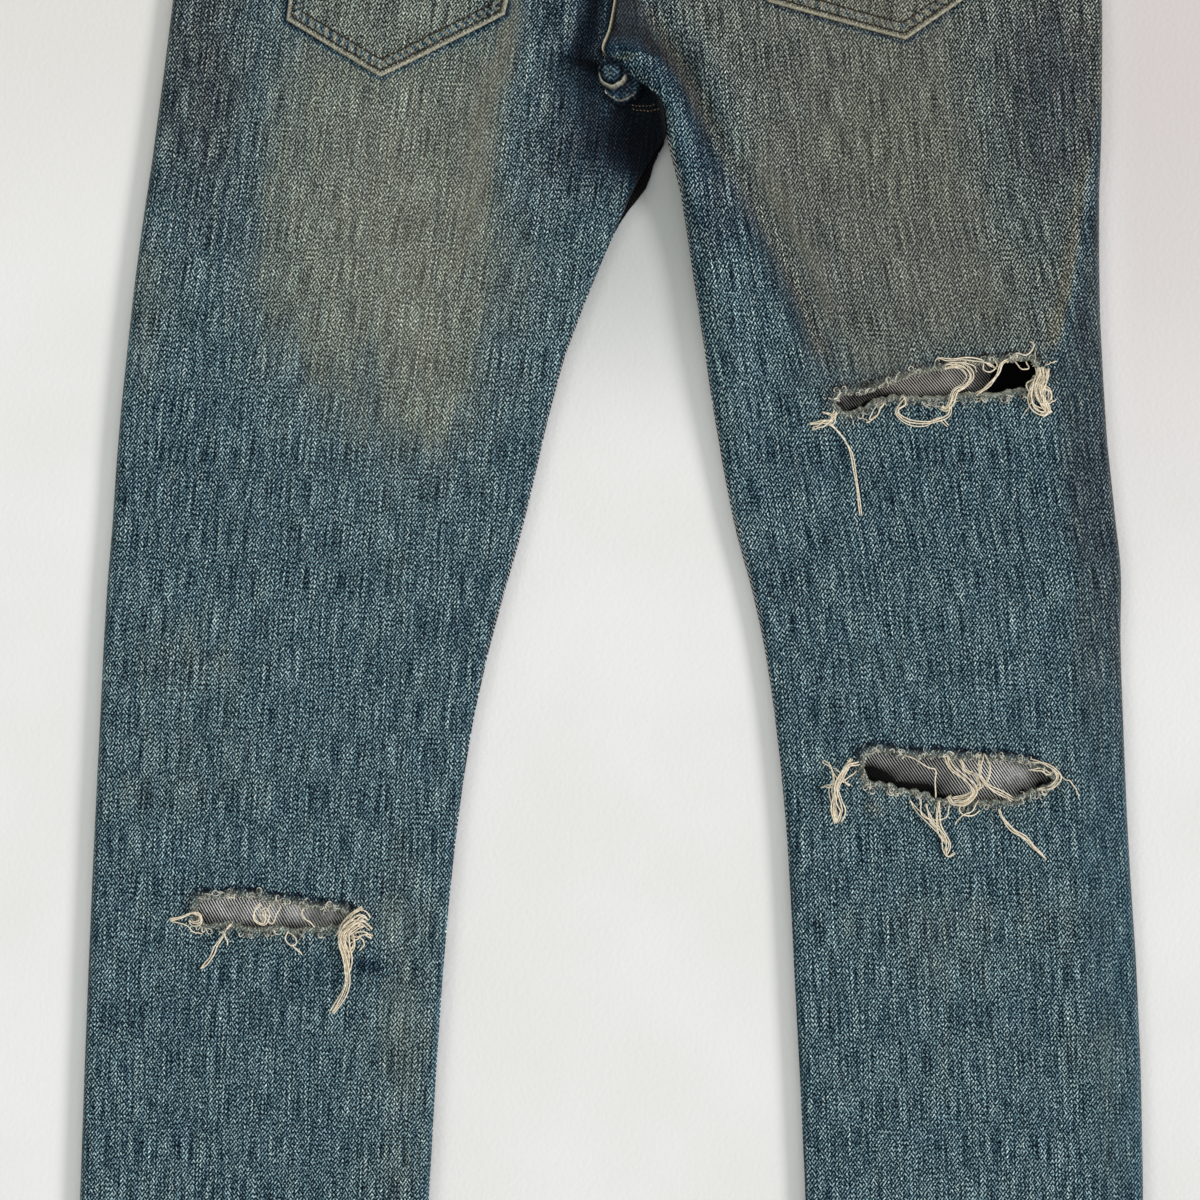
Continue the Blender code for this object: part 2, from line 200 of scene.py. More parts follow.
def below_fork(y):
    """1 where the legs are apart, 0 above the fork."""
    return fall(y, 0.224, 0.236)


def across(x):
    """Where x is across the waist: -1 at its left end, 1 at its right."""
    return (x - WAIST_X) / WAIST_HALF


def waist_top(x, front=False):
    """The y of the waistband's top edge. The ones below are the seams under it."""
    s = across(x)
    dip = FRONT_DIP * (1 - s * s) if front else 0.0
    return WAIST_Y + WAIST_TILT * (x - WAIST_X) - SIDE_DROP * s * s - dip


def waist_seam(x, front=False):
    return waist_top(x, front) - BAND_HEIGHT


def yoke_seam(x):
    spread = 1 - np.minimum(abs(across(x)), 1)
    return waist_seam(x) - YOKE_SIDE - (YOKE_MIDDLE - YOKE_SIDE) * spread


def band_height(x, front=False):
    """The z of the waistband's outer face."""
    s = np.minimum(abs(across(x)), 1)
    return 0.0046 - 0.0031 * s * s if front else 0.0124 - 0.0029 * s * s


def fly_rise(x, y):
    """How much the layers of the fly lift the right front, under the left one."""
    layers = 0.0015 * ease(y, 0.290, 0.360) + 0.0011 * ease(y, 0.440, 0.480)
    return layers * fall(x - WAIST_X, 0.040, 0.120)


def rounded(distance, radius):
    """A rounded edge: 1 at the edge itself, 0 from radius on."""
    t = 1 - np.clip(distance / radius, 0.0, 1.0)
    return 1 - np.sqrt(1 - t * t)


def layers_at(y):
    """The thickness of a leg's cloth, which is more in the hem."""
    return CLOTH + (HEM_FOLD - CLOTH) * fall(y, HEM_Y + HEM_DEPTH, HEM_Y + HEM_DEPTH + 0.003)


def front_height(side, x, y):
    """The height of the front's outer face, which is the underside."""
    low = (band_height(x, front=True) + BAND - CLOTH) * ease(y, 0.360, 0.470)
    if side == "right":
        low = low + fly_rise(x, y)
    from_side, from_inner = from_edges(side, x, y)
    return low + 0.001 * np.maximum(rounded(from_side, 0.006), below_fork(y) * rounded(from_inner, 0.006))


# The creases: name, side, height (a trough is negative), width, how softly the ends fade, line.
CREASES = (
    ("inner thigh", "right", -0.0016, 0.0050, 0.12, mm(26, 303, 39, 280, 52, 255, 68, 224, 88, 190,
        108, 148, 119, 120, 129, 101)),
    ("inner thigh crest", "right", 0.0014, 0.0080, 0.12, mm(40, 303, 52, 280, 66, 255, 83, 224, 102, 190,
        122, 148, 132, 122)),
    ("outer hip", "right", 0.0014, 0.0034, 0.15, mm(271, 238, 264, 206, 260, 177, 255, 148, 249, 122,
        246, 111)),
    ("outer hip fall", "right", -0.0012, 0.0060, 0.2, mm(281, 232, 273, 190, 266, 148, 259, 115)),
    ("seat", "left", 0.0016, 0.0090, 0.2, mm(-47, 330, -49, 308, -56, 282, -70, 257, -79, 213, -82, 160)),
    ("beside the rise", "left", -0.0034, 0.0085, 0.15, mm(-6, 345, -5.5, 310, -8.5, 285, -10, 270, -4, 256)),
    ("over the rise", "right", 0.0020, 0.0120, 0.2, mm(6, 350, 6, 310, 4, 280, 3, 268)),
    ("fork trough", "right", -0.0026, 0.0090, 0.15, mm(24, 330, 26, 305, 31, 285, 40, 262, 50, 236)),
    ("under the thigh", "left", -0.0007, 0.0120, 0.3, mm(-48, 215, -62, 150, -80, 90)),
    ("behind the knee", "left", -0.0008, 0.0070, 0.3, mm(-272, 18, -240, 12, -200, 18)),
    ("above the knee", "left", 0.0007, 0.0090, 0.3, mm(-264, -45, -205, -60, -150, -52)),
    ("inner knee", "left", -0.0009, 0.0060, 0.3, mm(-64, -46, -90, -52, -120, -48)),
    ("outer knee", "right", 0.0009, 0.0080, 0.3, mm(284, 2, 262, -12, 232, -14)),
    ("outer knee fall", "right", -0.0010, 0.0070, 0.3, mm(285, -22, 262, -30, 236, -28)),
    ("inner calf", "right", -0.0007, 0.0090, 0.3, mm(62, 52, 84, 6, 98, -44)),
    ("shin", "right", 0.0006, 0.0140, 0.3, mm(170, -150, 186, -260, 190, -380)),
    ("shin", "left", 0.0006, 0.0140, 0.3, mm(-190, -240, -196, -330, -205, -430)),
    ("ankle", "left", -0.0010, 0.0090, 0.3, mm(-292, -455, -240, -470, -190, -462)),
    ("ankle", "right", -0.0010, 0.0090, 0.3, mm(292, -440, 230, -462, 180, -470)),
)


# The free edge of the right thigh's roll, which stands over the hollow between the legs.
RIM = mm(
    5.5, 271.5, 12.6, 269.8, 16.5, 268.1, 20.9, 264.8, 26.4, 259.3, 30.2, 252.7, 32.4, 247.2, 34.1, 240.6,
    35.2, 233.5, 36.3, 226.3, 37.4, 219.7, 39.6, 211.5, 41.8, 200.5, 43.5, 191.1, 47, 175,
)


def rolled_edge(x, y):
    """The rolled thigh: its tube beside the hollow, the trough behind it, and how near it is."""
    far, share = beside(x, y, RIM)
    along = ease(share, 0.0, 0.10) * fall(share, 0.60, 1.0)
    tube_rise = 0.0085 * bell(far - 0.0058, 0.0072) - 0.0040 * bell(far - 0.0200, 0.0080)
    body = 0.0055 * bell(far, 0.045) * ease(y, 0.150, 0.225) * fall(y, 0.300, 0.345)
    return tube_rise * along + body, bell(far, 0.030) * along


def hollow(x, y):
    """How far the left seat sinks beside the roll, from 0 to 1."""
    far, share = beside(x, y, RIM)
    return ease(-far, -0.006, 0.004) * fall(-far, 0.020, 0.046) * fall(share, 0.55, 0.74)


def back_height(side, x, y):
    """The height of the outer face of the back and the yoke, with its creases."""
    from_side, from_inner = from_edges(side, x, y)
    at_waist = ease(y, 0.385, 0.480)
    crown = np.interp(y, (HEM_Y, -0.500, -0.350, -0.120, 0.226, 0.300),
                      (0.0074, 0.0068, 0.0066, 0.0066, 0.0066, 0.0064))
    top = crown + (band_height(x) - BAND + CLOTH - crown) * at_waist
    seam = front_height(side, side_edge(side, y), y) + 2 * layers_at(y) + SEAM_GAP
    is_leg = below_fork(y)
    rolled = 0.0 * x
    if side == "right":
        rise, rolled = rolled_edge(x, y)
        proud = bell(from_inner - 0.013, 0.013) * ease(y, 0.000, 0.130) * fall(y, 0.190, 0.250)
        top = top + rise + 0.0056 * proud
        is_leg = np.maximum(is_leg, ease(y, 0.150, 0.235) * fall(y, 0.268, 0.276))
        seam = seam + 0.0020 * ease(y, 0.200, 0.235) * fall(y, 0.268, 0.330)
    else:
        top = top - 0.0034 * hollow(x, y) + 0.0022 * blob(x, y, 0.021, 0.204, 0.012, 0.016)
        is_leg = is_leg * (1 - 0.8 * bell(y - 0.208, 0.012))
    inside = ease(np.minimum(from_side, from_inner + 0.01 * (1 - is_leg)), 0.002, 0.012)
    for _, where, height, width, soft, path in CREASES:
        if where == side:
            far, share = beside(x, y, path)
            top = top + height * bell(far, width) * ease(share, 0, soft) * fall(share, 1 - soft, 1) * inside
    slack = wander(x + 0.3 * y, (0.00022, 0.061, 0.4), (0.00015, 0.037, 2.1))
    slack = slack + wander(y - 0.2 * x, (0.00025, 0.083, 1.0), (0.00014, 0.047, 0.2))
    top = top + slack * inside * (1 - at_waist)
    top = np.maximum(top, front_height(side, x, y) + 2 * CLOTH + SEAM_GAP)
    radius = np.where(from_side < from_inner, 0.007, 0.007 - 0.002 * rolled)
    down = np.maximum(rounded(from_side, 0.007), is_leg * rounded(from_inner, radius))
    return top - (top - np.minimum(seam, top)) * down


# ---------------------------------------------------------------- the rips

# Each rip is a slit across a leg that gapes: its upper and lower edges, from left to right.
RIPS = {
    "thigh": {
        "side": "right",
        "upper": mm(
            128.7, 85.5, 130.9, 89.9, 136.4, 90.5, 141.9, 90.8, 146.3, 91, 150.7, 93.2, 155.7, 95.4,
            161.2, 96.5, 165, 98.7, 170.5, 100.4, 177.7, 102, 184.8, 103.7, 191.4, 104.2, 196.9, 105.9,
            205.2, 107, 213.4, 107.5, 218.9, 107.5, 225.5, 108.6, 229.9, 109.2, 235.4, 108.6, 237.6, 107,
            238.2, 103.1,
        ),
        "lower": mm(
            128.7, 85.5, 131.5, 81.7, 135.3, 80.9, 139.7, 82.2, 145.2, 84.4, 148.5, 87.2, 152.9, 88.8,
            159.5, 89.9, 166.7, 89.9, 174.9, 89.4, 183.2, 89.4, 188.7, 89.9, 194.2, 91, 199.7, 91.6,
            207.9, 91, 216.2, 91, 221.7, 92.1, 227.2, 93.8, 233.2, 94.1, 236, 97.1, 238.2, 103.1,
        ),
    },
    "right_knee": {
        "side": "right",
        "upper": mm(
            143.6, -114.7, 145.2, -108.6, 148.5, -106.4, 152.9, -106.2, 158.4, -107, 163.9, -108.6,
            169.4, -108.6, 174.9, -109.5, 180.4, -109.2, 184.8, -108.6, 191.4, -109.2, 196.9, -110.3,
            205.2, -110.3, 213.4, -110.8, 218.9, -110.6, 227.2, -111.4, 232.7, -112.5, 238.2, -115.2,
            244.2, -118, 248.1, -121.3,
        ),
        "lower": mm(
            143.6, -114.7, 145.8, -121.8, 152.9, -122.7, 158.4, -122.9, 162.3, -125.7, 166.7, -126.2,
            172.2, -126.8, 177.7, -127.9, 180.4, -130.1, 184.3, -131.7, 190.3, -131.2, 196.9, -132.3,
            205.2, -132.8, 213.4, -132.3, 218.9, -132.3, 224.4, -131.7, 228.8, -130.1, 234.3, -127.3,
            238.7, -125.7, 243.7, -124.6, 248.1, -121.3,
        ),
    },
    "left_knee": {
        "side": "left",
        "upper": mm(
            -222.8, -193.9, -221.1, -187.3, -215.6, -187, -210.1, -186.7, -204.6, -185.6, -199.1, -185.9,
            -193.6, -186.2, -189.2, -186.7, -185.4, -187.3, -179.9, -188.9, -174.4, -189.5, -168.9, -189.5,
            -163.4, -191.1, -157.9, -191.7, -152.4, -193.3, -146.9, -192.8, -141.4, -193.9, -139.7, -197.2,
        ),
        "lower": mm(
            -222.8, -193.9, -220, -200.5, -215.6, -200.5, -210.1, -199.4, -204.6, -199.4, -200.2, -199.9,
            -196.4, -201.6, -192.5, -202.1, -187, -202.7, -182.6, -201.6, -177.1, -201.3, -171.6, -202.7,
            -167.8, -203.2, -163.4, -201.6, -157.9, -202.1, -152.4, -201.6, -146.9, -201, -141.4, -200.5,
            -139.7, -197.2,
        ),
    },
}


def rips_of(side):
    return [(name, rip) for name, rip in RIPS.items() if rip["side"] == side]
EASING = 0.045  # how far above and below a rip its cloth gives way


def rip_edge(rip, x, edge):
    """The height of a rip's upper or lower edge, which past the rip's ends goes back to level."""
    points = np.array(rip[edge])
    y = np.interp(x, points[:, 0], points[:, 1])
    size = 1.0 if edge == "upper" else -1.0
    ragged = wander(x, (0.0005, 0.0063, 0.7 * size), (0.0004, 0.0031, 2.0), (0.0003, 0.0017, size))
    inside = ease(x, points[0, 0], points[0, 0] + 0.004) * ease(-x, -points[-1, 0], 0.004 - points[-1, 0])
    return y + ragged * inside


def open_rips(side, x, y):
    """Moves a panel's rows up and down round its rips. Gives the new y, and a slit for each rip."""
    slits = []
    for name, rip in rips_of(side):
        (left, left_y), (right, right_y) = rip["upper"][0], rip["upper"][-1]
        row = int(np.argmin(abs(y[:, 0] - (left_y + right_y) / 2)))
        rest = y[row].copy()
        past = ease(x[row], left - 0.040, left) * ease(-x[row], -right - 0.040, -right)
        upper, lower = ((rip_edge(rip, x[row], edge) - rest) * past for edge in ("upper", "lower"))
        below_y = y[row] + lower
        far = (y - rest[None, :]) / EASING
        give = np.where(abs(far) < 1, (1 - far * far) ** 2, 0.0)
        y = y + np.where(far >= -1e-9, upper[None, :], lower[None, :]) * give
        slits.append((name, row, upper - lower > 0.0003, below_y))
    return y, slits


def near_rip(side, x, y):
    """Distance from the nearest rip's edge, on the cloth, and 1 above the rip or -1 below it."""
    best, above = np.full(np.shape(x), 1.0), np.zeros(np.shape(x))
    for _, rip in rips_of(side):
        for edge, sign in (("upper", 1.0), ("lower", -1.0)):
            far, _ = beside(x, y, rip[edge])
            nearer = abs(far) < best
            best, above = np.where(nearer, abs(far), best), np.where(nearer, sign, above)
    return best, above


# ---------------------------------------------------------------- dyeing and wear, and painted shade


# Patches for patches(): where the indigo has gone, or is darker, and where the cloth is browner, rubbed
# or smooth. Some darker ones are painted shade, and some paler ones painted highlights, as marked.
FADES_AND_SHADES = {
    "left": (
        (-125, 275, 78, 60, 0.42),
        (-104, 170, 50, 85, 0.44),
        (-160, 190, 50, 75, 0.26),
        (-88, 110, 26, 50, 0.3),
        (-105, 180, 50, 100, 0.16),
        (-215, 330, 40, 120, -0.3),
        (-167, 143, 18, 45, -0.02),
        (-98, 157, 16, 60, 0.24),
        (-78, 258, 20, 30, 0.18),
        (-111, 236, 30, 35, 0.16),
        (-139, 255, 30, 20, 0.1),
        (-205, 215, 26, 80, -0.18),
        (-221, 275, 26, 60, -0.2),
        (-62, 275, 16, 40, 0.12),
        (-139, 170, 30, 50, 0.09),
        (-89, 115, 25, 35, 0.34),
        (-249, 143, 22, 60, 0.46),
        (-183, 160, 22, 55, 0.16),
        (-71, 104, 15, 34, -0.34),
        (-127, 118, 12, 28, -0.26),
        (-155, 120, 12, 30, 0.2),
        # The next four are painted shade, in the hollow under the roll and in the valley beside the middle
        # seam.
        (-2, 232, 20, 19, -0.94),
        (-7, 264, 10, 12, -0.6),
        (-30, 300, 34, 75, -0.34),
        (-18, 222, 34, 26, -0.34),
        (-240, 150, 28, 120, -0.16),
        (-190, 30, 60, 40, -0.1),
        (-235, -80, 50, 70, 0.18),
        (-110, -20, 20, 70, 0.06),
        (-110, -260, 24, 120, 0.3),
        (-215, -330, 60, 90, -0.06),
        (-130, -223, 6, 3, -1.1),
        (-124, -226, 5, 2.5, -0.9),
        (-122, 168, 68, 75, 0.3),
    ),
    "right": (
        (150, 270, 70, 80, 0.3),
        (170, 180, 60, 70, 0.24),
        (205, 140, 40, 40, 0.14),
        (245, 268, 34, 62, -0.34),
        (241, 242, 30, 45, -0.2),
        (65, 165, 20, 40, -0.12),
        (263, 33, 30, 40, -0.1),
        (109, -50, 30, 60, -0.08),
        (246, 143, 20, 25, -0.08),
        (262, 285, 20, 40, -0.15),
        (43, 250, 20, 45, -0.04),
        (64, 196, 14, 32, -0.26),
        # A painted highlight on the crest of the roll.
        (37, 243, 8, 16, 0.5),
        (240, 320, 40, 60, -0.1),
        (285, 150, 20, 120, -0.14),
        (80, 90, 40, 70, -0.16),
        (190, 40, 80, 50, -0.12),
        (286, 30, 16, 120, -0.16),
        (170, -60, 70, 40, 0.05),
        (150, -260, 50, 80, 0.02),
        (190, -215, 50, 40, 0.14),
        (279, -297, 20, 60, 0.15),
        (255, -200, 30, 90, 0.08),
        (134, 74, 10, 6, 0.25),
        # The next two are painted highlights on the top of the roll.
        (11, 275.5, 12, 6, 0.8),
        (15.5, 282.5, 11, 8, 0.38),
        (48, 264, 20, 20, -0.1),
        (149, -137, 5, 2, 0.45),
        (245, 250, 30, 62, -0.42),
    ),
}
BROWNS = {
    "left": ((-100, 180, 60, 110, 0.14), (-218, 270, 36, 80, 0.28)),
    "right": ((245, 250, 30, 62, -0.32), (146, 104, 34, 16, 0.45), (148, -137, 8, 4, 0.30)),
}
RUBS = {"left": ((-116, 180, 52, 100, 0.09), (-98, 118, 12, 30, 0.06)), "right": ()}
CALMS = {"left": ((-218, 270, 36, 80, 0.30),), "right": ((146, 104, 34, 16, 0.55),)}

# The smooth brownish streak down the left back panel, beside the hollow.
OLIVE_STREAK = mm(
    -49.5, 307.7, -52, 285.7, -53, 277.5, -59, 266.5, -63.5, 261, -65.5, 252.7, -68, 241.7, -69, 230.7,
    -70, 219.7, -72, 198, -76.5, 168, -82.5, 140,
)


def hem_wear(y):
    """How rubbed a hem's fold and its upper edge are."""
    return 0.6 * bell(y - HEM_Y, 0.0016) + 0.25 * bell(y - HEM_Y - HEM_DEPTH, 0.0018)


def dye_and_shade(side, x, y, height):
    """How faded, brown, rubbed and smooth the outside of a back panel is, with painted shade in the hollows
    and troughs round the fork and painted highlights on the roll.
    """
    from_side, from_inner = from_edges(side, x, y)
    fade_and_shade = patches(FADES_AND_SHADES[side], x, y, 0.46)
    brown = patches(BROWNS[side], x, y, 0.10 * ease(y, 0.060, 0.250))
    rubbed = patches(RUBS[side], x, y)
    rim, rim_share = beside(x, y, RIM)
    rise = ease(y, 0.272, 0.275)
    if side == "left":
        far, share = beside(x, y, OLIVE_STREAK)
        band = bell(far, np.where(far > 0, 0.0085, 0.0070)) * fall(share, 0.60, 1.0)
        # Painted shade on the left seat: darker and smoother in the valley beside the middle seam, in the
        # hollow beside the roll and most under its rim, and a painted shadow along the inner edge near the
        # fork.
        painted_valley_shade = bell(inner_edge(side, y) - x - 0.010, 0.0085) * ease(y, 0.250, 0.262)
        shade = hollow(x, y)
        painted_shade_under_roll = bell(-rim - 0.006, 0.016) * ease(rim_share, 0.03, 0.12) * fall(rim_share, 0.66, 0.95)
        painted_edge_shadow = bell(from_inner, 0.0022) * ease(y, 0.190, 0.198) * fall(y, 0.226, 0.240)
        fade_and_shade += 0.42 * band - 1.25 * painted_valley_shade - 0.40 * shade - 1.60 * painted_shade_under_roll - 1.2 * painted_edge_shadow
        fade_and_shade -= 0.9 * bell(from_inner - 0.0005, 0.0011) * rise
        brown += 0.45 * band
        smooth = 0.75 * band + 0.7 * painted_valley_shade + 0.55 * shade + 0.75 * painted_shade_under_roll
    else:
        edge, share = beside(x, y, CREASES[0][5])
        hip, hip_share = beside(x, y, CREASES[2][5])
        inside = ease(edge, -0.012, 0.026) * ease(y, 0.075, 0.115) * fall(hip, -0.004, 0.006)
        line = bell(edge, 0.0045) * fall(share, 0.9, 1.0)
        # dip is painted shade: a darker band beside the inner thigh crease, on its side towards the inner
        # edge.
        dip = bell(edge + 0.006, 0.0050) * ease(share, 0.35, 0.55) * fall(share, 0.9, 1.0)
        soft = bell(edge - 0.010, 0.0080) * ease(share, 0.35, 0.55) * fall(share, 0.85, 1.0)
        ridge = bell(hip, 0.0035) * ease(hip_share, 0, 0.2) * fall(hip_share, 0.9, 1.0)
        outer = ease(hip, 0.002, 0.012) * ease(y, 0.080, 0.110)
        outer = np.maximum(outer, ease(-from_side, -0.034, -0.020) * fall(y, 0.090, 0.150) * 0.8)
        low_outer = outer * ease(y, -0.160, -0.040)
        thigh = ease(-edge, 0.0, 0.008) * ease(y, 0.130, 0.190)
        rim_gap = np.maximum(rim, ease(y, 0.274, 0.280) * 0.05)
        # Painted shade: trough darkens and smooths the trough between the roll's tube and the crease, and
        # behind darkens the one just behind the tube.
        trough = ease(-edge, -0.004, 0.008) * ease(rim_gap, 0.010, 0.020) * ease(y, 0.225, 0.262)
        tube_top = bell(rim - 0.0075, 0.0060) * fall(rim_share, 0.65, 1.0)
        behind = bell(rim - 0.0195, 0.0060) * fall(rim_share, 0.55, 0.85)
        fade_and_shade += 0.10 * inside - 0.10 * line - 0.26 * dip + 0.32 * ridge - 0.20 * low_outer
        fade_and_shade -= 0.30 * thigh + 0.84 * trough + 0.08 * tube_top + 0.35 * behind
        # A painted shadow along the middle seam, beside its worn edge.
        fade_and_shade -= 1.6 * bell(from_inner - 0.0017, 0.0008) * rise
        brown += 0.62 * inside * ease(y, 0.080, 0.130) + 0.45 * line + 0.15 * dip + 0.35 * soft
        brown += 0.5 * ridge + 0.28 * low_outer + 0.18 * trough - 0.30 * tube_top
        rubbed += 1.5 * bell(from_inner - 0.0001, 0.0007) * rise
        smooth = np.maximum(0.28 * inside + 0.6 * dip + 0.6 * soft, 0.60 * outer)
        smooth = np.maximum(smooth, 0.95 * trough) - 0.3 * tube_top + 0.5 * behind
    for _, rip in rips_of(side):
        brown += 0.12 * bell(beside(x, y, rip["lower"])[0], 0.012)
    rubbed += 0.12 * bell(from_side, 0.0016) + 0.03 * bell(from_inner, 0.0014) * (1 - rise) + hem_wear(y)
    dashes = 0.5 + 0.5 * np.sin(x / 0.0021 + y / 0.0012)
    rubbed += 0.35 * bell(y - HEM_Y - 0.006, 0.004) * dashes
    # Paler where a leg stands higher, darker where it lies lower.
    fade_and_shade += 0.10 * np.clip(height - 0.0068, -0.002, 0.002) / 0.001 * fall(y, 0.20, 0.25)
    fade_and_shade += wander(x, (0.025, 0.023, 1.0), (0.02, 0.011, 0.3))
    fade_and_shade += wander(y, (0.02, 0.071, 0.2), (0.015, 0.033, 1.2))
    smooth = patches(CALMS[side], x, y, smooth) + 0.45 * ease(fade_and_shade, 0.56, 0.84)
    smooth = smooth + 0.9 * bell(np.minimum(from_side, from_inner), 0.0020)
    return fade_and_shade, brown, rubbed, np.clip(smooth, 0.0, 1.0)


# ---------------------------------------------------------------- shader maths


def math_node(operation, swapped=False):
    """A method that adds one Math node, with the value itself first, or last if swapped."""

    def add(self, *others):
        inputs = (*others, self) if swapped else (self, *others)
        return self.maker.node("ShaderNodeMath", {"operation": operation}, *inputs)

    return add


class Value:
    """A number in a material. Arithmetic on it adds the Math nodes."""

    def __init__(self, maker, socket):
        self.maker, self.socket = maker, socket

    __add__, __radd__ = math_node("ADD"), math_node("ADD", swapped=True)
    __sub__, __rsub__ = math_node("SUBTRACT"), math_node("SUBTRACT", swapped=True)
    __mul__, __rmul__ = math_node("MULTIPLY"), math_node("MULTIPLY", swapped=True)
    __truediv__, power = math_node("DIVIDE"), math_node("POWER")
    floor, size, cosine = math_node("FLOOR"), math_node("ABSOLUTE"), math_node("COSINE")
    atleast, atmost = math_node("MAXIMUM"), math_node("MINIMUM")

    def between(self, low, high):
        """0 up to low, 1 from high on, smooth between."""
        settings = {"interpolation_type": "SMOOTHSTEP", "clamp": True}
        return self.maker.node("ShaderNodeMapRange", settings, self, low, high, 0.0, 1.0)


class Finish:
    """A material with one Principled shader."""

    def __init__(self, name):
        self.material = bpy.data.materials.new(name)
        self.material.use_nodes = True
        self.nodes = self.material.node_tree.nodes
        self.links = self.material.node_tree.links
        self.shader = self.nodes["Principled BSDF"]

    def node(self, kind, settings, *inputs, out=0, **named):
        """Adds a node: its settings first, then the values or links of its sockets."""
        made = self.nodes.new(kind)
        for key, value in settings.items():
            setattr(made, key, value)
        for key, value in [*enumerate(inputs), *named.items()]:
            self.set(made.inputs[key if isinstance(key, int) else key.replace("_", " ")], value)
        return Value(self, made.outputs[out])

    def set(self, socket, value):
        if isinstance(value, Value):
            self.links.new(value.socket, socket)
        elif value is not None:
            socket.default_value = value

    def place(self, x, y):
        return self.node("ShaderNodeCombineXYZ", {}, x, y, 0.0)

    def own_place(self):
        """The point in the piece's own frame, in metres."""
        return self.node("ShaderNodeTexCoord", {}, out=3)

    def split(self, value, kind="ShaderNodeSeparateXYZ"):
        """The parts of a vector or a colour."""
        made = self.node(kind, {}, value).socket.node
        return [Value(self, socket) for socket in made.outputs]

    def noise(self, vector, scale=1.0, detail=1.0, rough=0.5, kind="2D"):
        return self.node("ShaderNodeTexNoise", {"noise_dimensions": kind},
                         Vector=vector, Scale=scale, Detail=detail, Roughness=rough)

    def mix(self, share, a, b):
        """A blend of two colours."""
        made = self.nodes.new("ShaderNodeMix")
        made.data_type = "RGBA"
        for index, value in ((0, share), (6, a), (7, b)):
            self.set(made.inputs[index], (*value, 1.0) if isinstance(value, tuple) else value)
        return Value(self, made.outputs[2])

    def scaled(self, colour, gain):
        """A colour made lighter or darker by a number."""
        return self.node("ShaderNodeVectorMath", {"operation": "SCALE"}, colour, Scale=gain)

    def done(self, height, strength, distance, **values):
        """Sets the shader's sockets and its bump. Gives the material."""
        for key, value in values.items():
            self.set(self.shader.inputs[key.replace("_", " ")], value)
        bump = self.node("ShaderNodeBump", {}, Strength=strength, Distance=distance, Height=height)
        self.set(self.shader.inputs["Normal"], bump)
        return self.material


def linear(red, green, blue):
    """A colour given as on a dye chart, 0 to 255, as the light it reflects."""
    parts = (c / 255 for c in (red, green, blue))
    return tuple(c / 12.92 if c <= 0.04045 else ((c + 0.055) / 1.055) ** 2.4 for c in parts)


def cloth_values(finish):
    """Across and along the cloth, in metres, and the four values of its colour attribute, painted shade and
    light among them, from the piece's own maps.
    """
    across, along, _ = finish.split(finish.node("ShaderNodeUVMap", {"uv_map": "cloth"}))
    tones = finish.node("ShaderNodeAttribute", {"attribute_name": "dye_and_shade"})
    red, green, blue = finish.split(tones, "ShaderNodeSeparateColor")
    return across, along, red, green, blue, Value(finish, tones.socket.node.outputs["Alpha"])


def grains(finish, x, y, detail=0.0, rough=0.5):
    """Noise with grains one unit wide in x and y."""
    return finish.noise(finish.place(x, y), 1.0, detail, rough)


def twill(finish, u, v, pitch, lean, wobble, seed):
    """Ribs of twill: how high on a rib, 0 between two of them, and how bright the yarn is there."""
    drift = finish.noise(finish.place(u, v), 230.0, 1.0) - 0.5
    s = (u - v * lean) / pitch + drift * wobble
    ridge = 0.5 - (s * (2 * math.pi)).cosine() * 0.5
    return ridge, grains(finish, s.floor() * 5.37 + seed, v / FLOAT_LENGTH)


